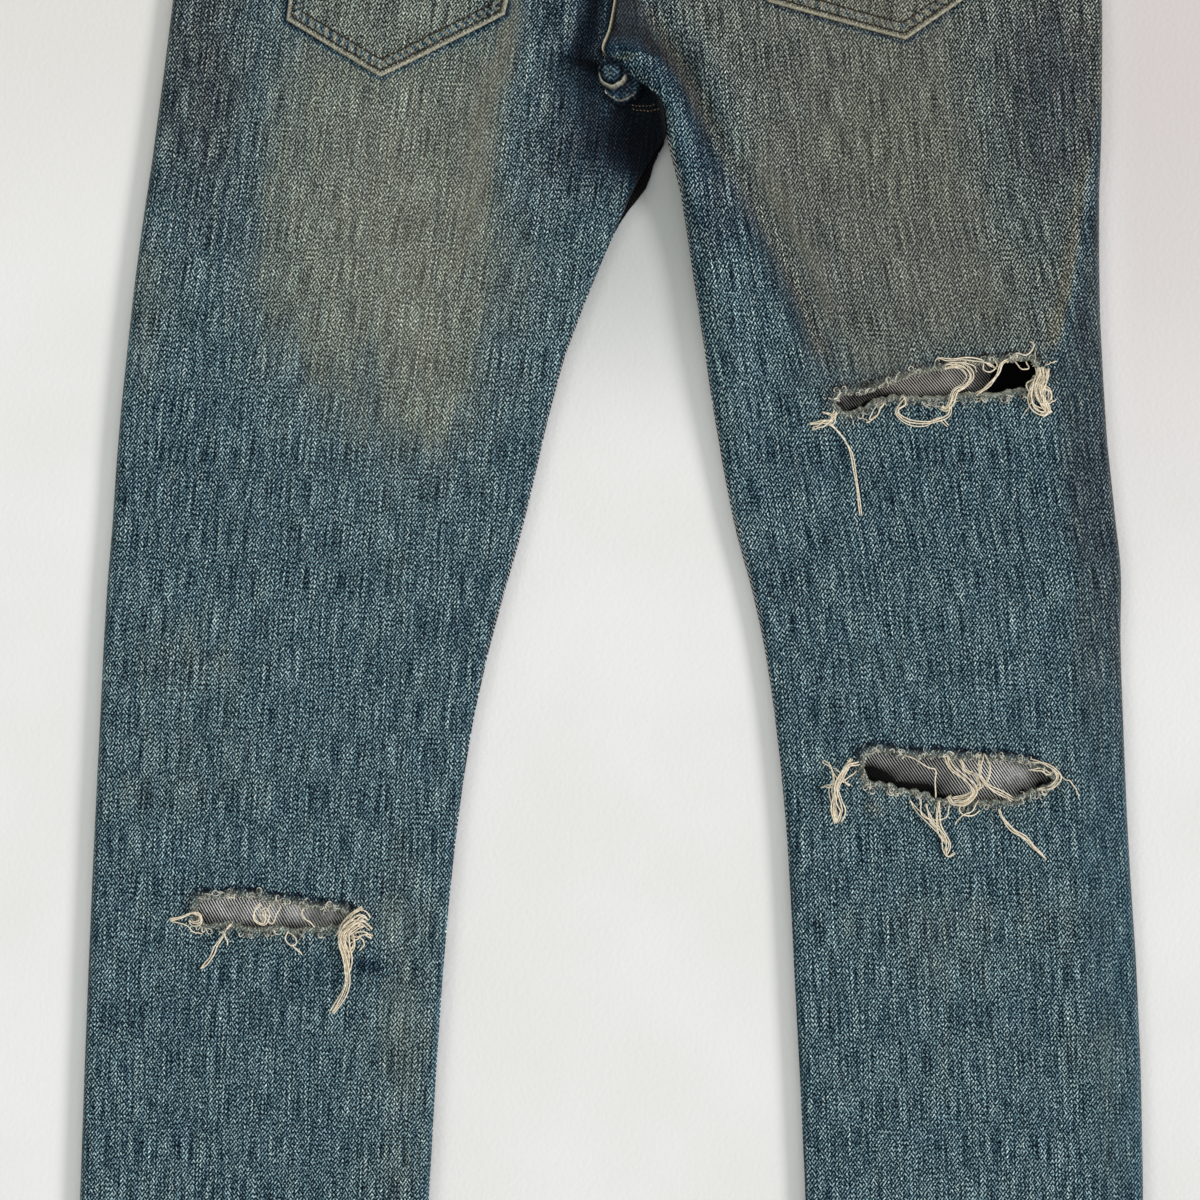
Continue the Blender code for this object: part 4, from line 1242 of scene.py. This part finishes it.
class Tree:
    """A Geometry Nodes tree with named inputs."""

    def __init__(self, name, **inputs):
        self.tree = bpy.data.node_groups.new(name, "GeometryNodeTree")
        face = self.tree.interface
        face.new_socket("Geometry", in_out="INPUT", socket_type="NodeSocketGeometry")
        for label, kind in inputs.items():
            face.new_socket(label, in_out="INPUT", socket_type="NodeSocket" + kind)
        face.new_socket("Geometry", in_out="OUTPUT", socket_type="NodeSocketGeometry")
        self.start = self.tree.nodes.new("NodeGroupInput")
        self.end = self.tree.nodes.new("NodeGroupOutput")

    def given(self, label):
        return self.start.outputs[label]

    def add(self, kind, settings=None, out=0, **inputs):
        made = self.tree.nodes.new(kind)
        for key, value in (settings or {}).items():
            setattr(made, key, value)
        for key, value in inputs.items():
            socket = made.inputs[key.replace("_", " ")]
            if isinstance(value, bpy.types.NodeSocket):
                self.tree.links.new(value, socket)
            else:
                socket.default_value = value
        return made.outputs[out]

    def along(self, spacing):
        """Points on the seed's lines, as far apart as the named input says, and the lines' run."""
        curve = self.add("GeometryNodeMeshToCurve", Mesh=self.given("Geometry"))
        settings = {"mode": "LENGTH"}
        dots = self.add("GeometryNodeResampleCurve", settings, Curve=curve, Length=self.given(spacing))
        return dots, self.add("GeometryNodeInputTangent")

    def sized(self, shape, x, y, z):
        """A shape scaled by three named inputs."""
        size = self.add("ShaderNodeCombineXYZ", X=self.given(x), Y=self.given(y), Z=self.given(z))
        return self.add("GeometryNodeTransform", Geometry=shape, Scale=size)

    def turned(self, rotation, **limits):
        """A rotation, turned further at random."""
        turn = self.add("FunctionNodeRandomValue", {"data_type": "FLOAT_VECTOR"}, **limits)
        turn = self.add("FunctionNodeEulerToRotation", Euler=turn)
        return self.add("FunctionNodeRotateRotation", Rotation=rotation, Rotate_By=turn)

    def finish(self, geometry):
        real = self.add("GeometryNodeRealizeInstances", Geometry=geometry)
        done = self.add("GeometryNodeSetMaterial", Geometry=real, Material=self.given("Thread"))
        self.tree.links.new(done, self.end.inputs[0])
        return self

    def grow(self, name, mesh, **values):
        """Runs the tree on a mesh and adds what it makes as a plain piece."""
        seed = bpy.data.objects.new(name + "_lines", mesh)
        bpy.context.scene.collection.objects.link(seed)
        modifier = seed.modifiers.new("grow", "NODES")
        modifier.node_group = self.tree
        for item in self.tree.interface.items_tree:
            if item.in_out == "INPUT" and item.name in values:
                modifier[item.identifier] = values[item.name]
        graph = bpy.context.evaluated_depsgraph_get()
        made = bpy.data.meshes.new_from_object(seed.evaluated_get(graph), depsgraph=graph)
        made.name = name
        bpy.data.objects.remove(seed)
        return add_piece(name, made, ())


def stitch_tree():
    """Short raised stitches, end to end along lines."""
    tree = Tree("stitches", Pitch="Float", Length="Float", Width="Float", Thread="Material")
    dots, tangent = tree.along("Pitch")
    bead = tree.add("GeometryNodeMeshUVSphere", Segments=6, Rings=4, Radius=0.5)
    bead = tree.sized(bead, "Length", "Width", "Width")
    bead = tree.add("GeometryNodeSetShadeSmooth", Geometry=bead)
    facing = tree.add("FunctionNodeAlignRotationToVector", {"axis": "X"}, Vector=tangent)
    turn = tree.turned(facing, Min=(0.0, 0.0, -0.10), Max=(0.0, 0.0, 0.10))
    beads = tree.add("GeometryNodeInstanceOnPoints", Points=dots, Instance=bead, Rotation=turn)
    return tree.finish(beads)


# The shapes a broken end of weft takes: start, two handles, end; along the edge, out from it, up.
CURLS = (
    ((0.0, 0.0, 0.0), (0.0, 0.9, 0.5), (0.7, 1.3, 0.4), (0.65, 0.55, 0.10)),
    ((0.0, 0.0, 0.0), (0.1, 0.8, 0.6), (-0.6, 1.2, 0.4), (-0.60, 0.45, 0.10)),
    ((-0.2, 0.0, 0.0), (1.5, 1.5, 0.6), (-1.5, 1.5, 0.4), (0.25, 0.05, 0.05)),
    ((-0.6, 0.1, 0.0), (0.1, 0.9, 0.5), (0.0, -0.3, 0.4), (0.70, 0.60, 0.10)),
    ((0.1, 0.0, 0.0), (0.2, 0.5, 0.4), (-0.3, 0.9, 0.3), (0.15, 1.35, 0.05)),
    ((-0.4, 0.0, 0.0), (-0.5, 0.8, 0.6), (0.5, 0.8, 0.5), (0.35, 0.00, 0.10)),
    ((0.5, 0.2, 0.0), (-0.5, 1.1, 0.5), (-0.9, 0.2, 0.4), (0.10, 0.30, 0.15)),
)


def fray_tree():
    """Curled ends of weft along lines: they spring from the edge, and lean and differ at random."""
    tree = Tree("fray", Spacing="Float", Length="Float", Radius="Float", Seed="Int", Thread="Material")
    dots, tangent = tree.along("Spacing")
    ring = tree.add("GeometryNodeCurvePrimitiveCircle", Resolution=3, Radius=1.0)
    ring = tree.sized(ring, "Radius", "Radius", "Radius")
    shapes = tree.tree.nodes.new("GeometryNodeGeometryToInstance")
    for start, start_pull, end_pull, end in CURLS:
        arc = tree.add("GeometryNodeCurvePrimitiveBezierSegment", {"mode": "POSITION"}, Resolution=9,
                       Start=start, Start_Handle=start_pull, End_Handle=end_pull, End=end)
        arc = tree.sized(arc, "Length", "Length", "Length")
        fibre = tree.add("GeometryNodeCurveToMesh", Curve=arc, Profile_Curve=ring)
        fibre = tree.add("GeometryNodeSetShadeSmooth", Geometry=fibre)
        tree.tree.links.new(fibre, shapes.inputs[0])
    facing = tree.add("FunctionNodeAlignRotationToVector", {"axis": "X", "pivot_axis": "Z"}, Vector=tangent)
    seed = tree.given("Seed")
    turn = tree.turned(facing, Min=(-0.2, -0.3, -0.9), Max=(0.3, 0.3, 0.9), Seed=seed)
    size = tree.add("FunctionNodeRandomValue", {"data_type": "FLOAT"}, out=1, Seed=seed)
    limits = {"Min": 0.55, "Max": 1.40}
    for socket in size.node.inputs:
        if socket.type == "VALUE" and socket.name in limits:
            socket.default_value = limits[socket.name]
    fibres = tree.add("GeometryNodeInstanceOnPoints", Points=dots, Instance=shapes.outputs[0],
                      Pick_Instance=True, Rotation=turn, Scale=size)
    return tree.finish(fibres)


def lines_mesh(name, lines):
    """A mesh of open lines, each a list of points."""
    points, edges = [], []
    for line in lines:
        start = len(points)
        points += [tuple(map(float, p)) for p in line]
        edges += [(start + i, start + i + 1) for i in range(len(line) - 1)]
    mesh = bpy.data.meshes.new(name)
    mesh.from_pydata(points, edges, [])
    return mesh


def dense(path, step=0.002):
    """Points a step apart along a line of corners, in the plane."""
    points = np.array(path)
    lengths = np.concatenate([[0], np.cumsum(np.linalg.norm(np.diff(points, axis=0), axis=1))])
    at = np.linspace(0, lengths[-1], max(int(lengths[-1] / step), 2))
    return np.stack([np.interp(at, lengths, points[:, i]) for i in (0, 1)], axis=-1)


def lay(height, side, x, y, lift):
    """A row of points a little off a panel's face, whose height a function gives."""
    return np.column_stack([x, y, height(side, x, y) + lift])


def inset_corners(corners, distance):
    """A line round a pocket, from top left to top right, moved inwards."""
    tip, low_left, low_right, top_left, top_right = (np.array(p) for p in corners)
    ring = [top_left, low_left, tip, low_right, top_right]
    moved = []
    for i, point in enumerate(ring):
        sides = []
        if i > 0:
            sides.append(point - ring[i - 1])
        if i < 4:
            sides.append(ring[i + 1] - point)
        normals = [np.array([-s[1], s[0]]) / np.linalg.norm(s) for s in sides]
        if len(normals) == 1:
            moved.append(point + normals[0] * distance)
        else:
            middle = normals[0] + normals[1]
            moved.append(point + middle * distance / (middle @ normals[0]))
    return moved


# ---------------------------------------------------------------- loose threads

# The threads of each rip: the rip's left end, then for each thread its strands, how far they spread,
# how high they arch, and its points from that end, x and y in turn, all in millimetres.
THREADS = {
    "thigh": ((127, 85), (
        (3, 1, 2, (2, -4, -1, -8, -7, -10, -13, -11)),
        (2, 1.2, 1.4, (1, -3, -3, -9, -8, -12, -11, -14)),
        (2, 0.8, 1, (-6, -4, -1, -6, 0, -10, -4, -11)),
        (2, 0.6, 1.2, (-3, -10, 2, -14, 6, -19, 10, -27, 12, -39, 14, -51, 15, -61)),
        (1, 0, 2, (29, 3, 26, -2, 23, -7, 18, -10)),
        (1, 0, 1.6, (27, 1, 22, -3, 20, -8, 24, -6)),
        (2, 0.8, 2.6, (39, 5, 40, 0, 36, -3, 37, -6, 42, -9, 51, -10, 59, -8, 64, -5, 65, 2, 67, 6)),
        (2, 0.8, 1.8, (40, 4, 36, -1, 35, -5, 40, -10, 50, -11, 58, -8, 63, -12)),
        (5, 2, 3.4, (60, 20, 64, 21, 69, 21, 73, 19, 75, 15, 72, 10, 67, 7, 65, 1, 62, -3, 59, -2)),
        (2, 1, 2.2, (57, 25, 64, 24, 73, 25, 82, 24, 87, 22, 90, 20)),
        (1, 0, 2.2, (62, 20, 70, 23, 77, 21, 79, 18)),
        (1, 0, 3, (83, 23, 82, 19, 86, 18, 90, 21, 88, 25)),
        (3, 1.2, 2.6, (98, 25, 93, 22, 90, 16, 84, 10, 78, 6)),
        (1, 0, 2.6, (97, 25, 100, 28, 105, 27, 109, 30, 110, 33, 108, 35)),
        (1, 0, 3, (99, 25, 101, 21, 104, 19, 107, 20, 106, 24)),
        (3, 1.2, 3, (112, 21, 112, 14, 108, 8, 109, 1, 113, -4)),
        (5, 2.6, 4, (115, 21, 115, 15, 112, 8, 114, 1, 117, -3, 114, -5)),
        (4, 2.2, 4.6, (117, 20, 117, 13, 115, 6, 116, 0, 119, -5)),
        (3, 2, 4, (114, 18, 111, 12, 108, 5, 110, -2, 116, -4, 118, 0)),
        (3, 1.2, 3.4, (118, 20, 116, 14, 112, 10, 118, 8, 119, 3, 114, 0)),
        (1, 0, 2.2, (111, 15, 106, 11, 108, 6, 113, 5)),
        (1, 0, 2, (111, 5, 108, 0, 105, -5)),
        (1, 0, 2.4, (114, -1, 119, 1, 123, 3)),
        (1, 0, 2, (117, 22, 120, 23, 123, 24)),
    )),
    "right_knee": ((140, -116), (
        (2, 1, 3, (-19, 5, -15, 2, -13, -5, -15, -10, -13, -18, -11, -29)),
        (3, 1.8, 3.4, (-2, 6, -7, 0, -11, -9, -10, -16, -8, -22, -10, -28)),
        (3, 1.6, 3, (1, 5, -5, 3, -9, -3, -12, -11, -13, -20, -11, -29)),
        (2, 2, 2.4, (-14, 0, -9, -3, -3, -7)),
        (1, 0, 1.8, (-17, -8, -12, -7, -5, -4, 0, 0)),
        (1, 0, 1.6, (-20, -9, -15, -9, -11, -10)),
        (1, 0, 1.8, (25, 9, 32, 6, 39, 2, 43, 0, 43, -7, 43, -15)),
        (5, 1.9, 3.6, (48, 9, 51, 2, 58, -4, 63, -9, 64, -13, 59, -18, 53, -18, 50, -14)),
        (3, 1.2, 3, (56, 6, 59, 0, 65, -3, 67, -9, 62, -15, 55, -17)),
        (3, 1.4, 3.6, (68, 9, 67, 2, 67, -3, 71, -8, 78, -12, 86, -16)),
        (2, 1, 2.6, (69, 9, 72, 2, 71, -4, 66, -10, 58, -14, 52, -16)),
        (3, 1.4, 3.4, (95, 5, 101, 4, 107, 1, 110, -4, 107, -9, 99, -11)),
        (2, 1, 3, (94, 1, 100, 1, 106, -2, 110, 1)),
        (1, 0, 2.6, (107, 1, 113, -4, 117, -6, 120, -10, 122, -14)),
        (2, 1.2, 2.6, (29, -16, 33, -22, 41, -30, 47, -36, 48, -43, 50, -47, 54, -45)),
        (1, 0, 2.6, (35, -15, 35, -23, 41, -27, 49, -25, 51, -18)),
        (3, 1.6, 2.4, (45, -16, 44, -26, 46, -34, 50, -40, 49, -46)),
        (2, 1, 2.2, (38, -18, 40, -26, 45, -33, 49, -39)),
        (1, 0, 2.2, (67, -16, 63, -22, 57, -25, 54, -30)),
        (1, 0, 2.2, (58, -18, 56, -22, 62, -25, 68, -22)),
        (3, 1, 2.2, (78, -21, 80, -26, 85, -32, 92, -37, 98, -43, 104, -49)),
    )),
    "left_knee": ((-219.5, -194), (
        (3, 1.2, 2.4, (-18, -4, -11, -2, -5, 0, -1, -1, -1, -5, -5, -6, -7, -4)),
        (1, 0, 2, (-17, -5, -10, -6, -5, -10, 0, -12)),
        (2, 0.8, 2.2, (16, -6, 11, -13, 7, -20, 4, -26, -1, -31)),
        (1, 0, 1.8, (11, -10, 13, -13, 14, -18)),
        (2, 1, 3, (32, 5, 29, 1, 29, -4, 34, -6, 36, -2, 35, 2, 32, -1, 34, -5)),
        (1, 0, 2.6, (38, 5, 35, 0, 38, -6, 41, -1, 43, 4)),
        (1, 0, 2.4, (56, 3, 55, -1, 58, -4, 62, -8)),
        (1, 0, 2.4, (47, -10, 46, -14, 49, -18, 52, -16, 50, -12, 47, -11)),
        (1, 0, 1.6, (49, -17, 52, -20, 55, -23)),
        (4, 1.6, 3.4, (88, 3, 81, -2, 76, -8, 76, -16, 79, -26, 80, -36, 78, -44, 74, -51, 71, -55)),
        (4, 3, 4, (88, -2, 83, -6, 78, -10, 77, -18, 79, -26)),
        (4, 3, 3.6, (91, -4, 88, -1, 83, -4, 78, -9, 75, -14)),
        (3, 2.6, 3, (92, -10, 88, -6, 82, -7, 78, -13, 80, -19, 84, -18)),
        (3, 2.4, 3, (93, -14, 89, -12, 84, -13, 81, -10)),
        (4, 3, 3.6, (89, -8, 84, -8, 79, -11, 78, -17, 80, -25, 79, -34)),
        (2, 1, 2.6, (79, -8, 83, -15, 82, -21, 79, -27)),
        (1, 0, 2, (86, -12, 89, -17, 86, -21)),
    )),
}
THREAD_RADIUS = 0.00036


def smooth_line(points, per_span=7):
    """A curve through points, as Catmull and Rom draw it."""
    points = np.array(points)
    ends = np.vstack([2 * points[0] - points[1], points, 2 * points[-1] - points[-2]])
    t = np.linspace(0, 1, per_span, endpoint=False)[:, None]
    out = []
    for a, b, c, d in zip(ends, ends[1:], ends[2:], ends[3:], strict=False):
        out.append(0.5 * (2 * b + (c - a) * t + (2 * a - 5 * b + 4 * c - d) * t**2
                          + (3 * b - a - 3 * c + d) * t**3))
    return np.vstack([*out, points[-1:]])


def tube(line, radius, sides=6):
    """Points and faces of a thin closed tube along a line."""
    tangent = np.gradient(line, axis=0)
    tangent /= np.linalg.norm(tangent, axis=1)[:, None] + 1e-12
    over = np.cross(tangent, (0.0, 0.0, 1.0))
    over /= np.linalg.norm(over, axis=1)[:, None] + 1e-12
    up = np.cross(over, tangent)
    turn = 2 * math.pi * np.arange(sides) / sides
    size = np.full(len(line), radius)
    size[[0, -1]] *= 0.5
    ring = np.cos(turn)[None, :, None] * over[:, None] + np.sin(turn)[None, :, None] * up[:, None]
    points = (line[:, None] + ring * size[:, None, None]).reshape(-1, 3)
    faces = []
    for start in range(0, len(points) - sides, sides):
        for j in range(sides):
            a, b = start + j, start + (j + 1) % sides
            faces.append((a, a + sides, b + sides, b))
    faces.append(tuple(range(sides)))
    faces.append(tuple(range(len(points) - sides, len(points)))[::-1])
    return points, faces


def loose_threads(name, random):
    """All the loose threads of one rip, joined in one piece."""
    origin, threads = THREADS[name]
    side = RIPS[name]["side"]
    points, faces = [], []
    for strands, spread, arch, path in threads:
        centre = smooth_line((np.reshape(path, (-1, 2)) + origin) / 1000)
        share = np.linspace(0, 1, len(centre))
        over = np.gradient(centre, axis=0)[:, ::-1] * (-1, 1)
        over /= np.linalg.norm(over, axis=1)[:, None] + 1e-12
        for strand in range(strands):
            offset = (strand - (strands - 1) / 2) * spread / 1000 / max(strands - 1, 1) * 1.9
            phase, twist = random.uniform(0, 6.28), random.uniform(0.9, 1.5)
            sway = offset * np.cos(share * 2.6 * twist + phase * 0.4)
            sway += 0.00022 * np.sin(share * random.uniform(12, 22) + phase)
            flat = centre + over * sway[:, None]
            z = back_height(side, flat[:, 0], flat[:, 1]) + 0.0006 + THREAD_RADIUS
            rise = np.sin(math.pi * np.clip(share * 1.15, 0, 1)) ** 0.8
            z = z + arch / 1000 * random.uniform(0.6, 1.1) * rise + 0.0004 * np.sin(share * 9 + phase)
            made, quads = tube(np.column_stack([flat, z]), THREAD_RADIUS * random.uniform(0.82, 1.1))
            faces += [tuple(i + len(points) for i in face) for face in quads]
            points += made.tolist()
    mesh = bpy.data.meshes.new(name + "_threads")
    mesh.from_pydata(points, [], faces)
    mesh.shade_smooth()
    return add_piece(name + "_threads", mesh, (CREAM,))


# The two rows of fray on each edge of a rip: which way is out, then each row's distance and lift.
FRAY_ROWS = {
    "upper": (1.0, (-0.0003, 0.0005), (0.0014, 0.0006)),
    "lower": (-1.0, (0.0013, 0.0005), (0.0028, 0.0006)),
}


def rip_fray(tree, name, number):
    """The curled ends of weft along both edges of a rip, in two rows, springing away from it."""
    rip = RIPS[name]
    lines = []
    for edge, (out, *rows) in FRAY_ROWS.items():
        x = np.arange(rip[edge][0][0], rip[edge][-1][0], 0.0012)
        y = rip_edge(rip, x, edge)
        for step, lift in rows:
            away = y + out * step * (1 + 0.5 * np.sin(x / 0.0031))
            row = lay(back_height, rip["side"], x, away, lift + 0.0012 * (out > 0))
            tufts = wander(x, (1.0, 0.0043, out + 900.0 * step), (0.8, 0.0019, 2.0 - 700.0 * step)) > -0.55
            starts = np.flatnonzero(np.diff(tufts.astype(int))) + 1
            for run, kept in zip(np.split(row, starts), np.split(tufts, starts), strict=True):
                if kept[0] and len(run) > 2:
                    lines.append(run[:: int(out)])
    return tree.grow(name + "_fray", lines_mesh(name + "_lines", lines),
                     Spacing=0.00150, Length=0.0034, Radius=0.00027, Seed=number, Thread=FRAY)


# ---------------------------------------------------------------- the scene


def set_camera():
    camera = bpy.data.objects.new("camera", bpy.data.cameras.new("camera"))
    bpy.context.scene.collection.objects.link(camera)
    bpy.context.scene.camera = camera
    distance, width = 1.25, 0.660
    camera.location = (-0.0011, -0.0223, distance + 0.006)
    camera.data.sensor_width = 36.0
    camera.data.lens = 36.0 * distance / width
    camera.data.clip_start = 0.01


def set_light():
    world = bpy.data.worlds.new("room")
    bpy.context.scene.world = world
    world.use_nodes = True
    background = world.node_tree.nodes["Background"]
    background.inputs["Color"].default_value = (0.965, 0.985, 0.99, 1.0)
    background.inputs["Strength"].default_value = 0.599
    for name, aim, strength, angle, colour in (
        ("key", (-0.94, 0.24, -0.45), 2.30, 13, (1.0, 0.955, 0.955)),
        ("fill", (0.80, -0.12, -0.60), 0.50, 22, (1.0, 1.0, 0.86)),
    ):
        lamp = bpy.data.lights.new(name, "SUN")
        lamp.energy = strength
        lamp.angle = math.radians(angle)
        lamp.color = colour
        holder = bpy.data.objects.new(name, lamp)
        bpy.context.scene.collection.objects.link(holder)
        holder.rotation_mode = "QUATERNION"
        holder.rotation_quaternion = Vector(aim).to_track_quat("-Z", "Y")


def set_floor():
    mesh = bpy.data.meshes.new("floor")
    reach = 4.0
    corners = [(-reach, -reach), (reach, -reach), (reach, reach), (-reach, reach)]
    mesh.from_pydata([(x, y, -0.0006) for x, y in corners], [], [(0, 1, 2, 3)])
    mesh.materials.append(FLOOR)
    floor = bpy.data.objects.new("floor", mesh)
    bpy.context.scene.collection.objects.link(floor)


def sew(tree, name, rows, pitch=STITCH_PITCH, length=STITCH_LENGTH, width=STITCH_WIDTH, thread=TAN_STITCH):
    """Rows of stitches, all one piece."""
    return tree.grow(name + "_stitches", lines_mesh("rows", rows),
                     Pitch=pitch, Length=length, Width=width, Thread=thread)


def seam_stitches(tree):
    """The rows of topstitching, each set of rows one piece."""
    made = {}
    for side in SIDES:
        rings = [dense(inset_corners(POCKETS[side], d)).T for d in (OUTER_ROW, INNER_ROW)]
        rows = [lay(pocket_height, side, *ring, 0.0007) for ring in rings]
        name = "pocket_" + side
        made[name] = sew(tree, name, rows, STITCH_PITCH * 0.9, 0.0029, 0.00095, TOPSTITCH)
        ends = sorted((float(inner_edge(side, RISE_TOP)), float(side_edge(side, 0.46))))
        x = spaced(*ends, (0.0, 0.003), 0.004)
        rows = [lay(back_height, side, x, yoke_seam(x) + d, 0.0004) for d in YOKE_ROWS]
        made["yoke_" + side] = sew(tree, "yoke_" + side, rows)
    y = np.arange(0.318, 0.428, 0.003)
    rows = [lay(back_height, "left", inner_edge("left", y) - d, y, 0.0001) for d in RISE_ROWS]
    made["back_left"] = sew(tree, "rise", rows)
    rows = []
    for level, left, right in ((0.2508, 0.0150, 0.0285), (0.2482, 0.0175, 0.0310)):
        x = np.linspace(left, right, 14)
        y = level - 0.0009 * np.sin((x - left) / 0.0046) + 0.0002 * np.sin(x / 0.0011)
        rows.append(lay(back_height, "left", x, y, 0.0001))
    made["fork"] = sew(tree, "fork", rows, 0.0019, 0.0013)
    for side in SIDES:
        level = HEM_Y + 0.011
        ends = sorted((float(side_edge(side, level)), float(inner_edge(side, level))))
        x = spaced(*ends, (0.002, 0.004), 0.006)
        for label, height, lift in (("back", back_height, 0.0001), ("front", front_height, -0.0001)):
            name = f"{label}_{side}_hem"
            row = lay(height, side, x, 0.0 * x + HEM_Y + HEM_ROW, lift)
            made[name] = sew(tree, name, [row], STITCH_PITCH * 1.1, 0.0033)
    path = band_path()
    top, out = band_top(path)
    rows = [np.column_stack([path[:, 0], top - d, path[:, 1] - 0.0001 * out])
            for d in (BAND_ROW, BAND_HEIGHT - BAND_ROW)]
    made["waistband"] = sew(tree, "waistband", rows)
    for side in SIDES:
        out = -1 if side == "left" else 1
        paths = [[(x - out * d, y - d * 0.8) for x, y in pocket_mouth(side)] for d in MOUTH_ROWS]
        if side == "left":
            paths += [[(x + d, y) for x, y in fly_line()] for d in (0.0, -0.0050)]
        rows = [lay(front_height, side, *dense(path).T, -0.0001) for path in paths]
        made["front_" + side] = sew(tree, "front_" + side, rows)
    rows = []
    for name, (offset, front) in LOOPS.items():
        low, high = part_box(name)
        z = low[2] - 0.0001 if front else high[2] - 0.0007
        down = np.linspace(0.001, BAND_HEIGHT + LOOP_BELOW - 0.002, 24)
        over = np.linspace(-0.0044, 0.0044, 8)
        sides = [(np.full(24, d), down) for d in (-LOOP_ROW, LOOP_ROW)]
        ends = [(over, d) for d in (0.0015, BAND_HEIGHT + LOOP_BELOW - 0.0020)]
        for aside, drop in sides + ends:
            x = WAIST_X + offset + aside
            rows.append(np.column_stack([x, waist_top(x, front) - drop, np.full(len(x), z)]))
    made["loops"] = sew(tree, "loop", rows, 0.0022, 0.0021)
    return made


def inside_patch():
    """The black cloth that lies inside the leg behind the thigh rip's right end."""
    low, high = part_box("patch_inside_right")
    share = np.linspace(1, 0, 24)[:, None]
    left = 0.205 + 0.016 * share
    x = left + (high[0] - left) * np.linspace(0, 1, 26)[None, :]
    y = low[1] + (high[1] - low[1]) * share + 0.0 * x
    z = high[2] + 0.0004 * np.sin(x / 0.006 + y / 0.009)
    return cloth_piece("patch_inside_cloth", x, y, z, (0.0, 0.0, 0.0, 0.0), 0.0, ("patch_inside_right",),
                       thickness=0.0009, materials=(BLACK, BLACK))


def build():
    set_camera()
    set_light()
    set_floor()
    random = np.random.default_rng(7)
    for side in SIDES:
        leg_panel(side, front=False)
        leg_panel(side, front=True)
        yoke(side)
        back_pocket(side)
    band = waistband()
    loops = [belt_loop(name) for name in LOOPS]
    curl = crotch_curl()
    patch = inside_patch()
    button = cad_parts["button"]
    button.data.materials.clear()
    button.data.materials.append(METAL)

    stitches = seam_stitches(stitch_tree())
    fray = fray_tree()
    loose = {"left": [], "right": []}
    for number, name in enumerate(RIPS):
        side = RIPS[name]["side"]
        loose[side] += [loose_threads(name, random), rip_fray(fray, name, number)]

    for side in SIDES:
        trims = [*loose[side], stitches[f"back_{side}_hem"]]
        trims += [stitches["back_left"], stitches["fork"]] if side == "left" else [curl]


bpy.context.scene.view_settings.view_transform = "Standard"
build()
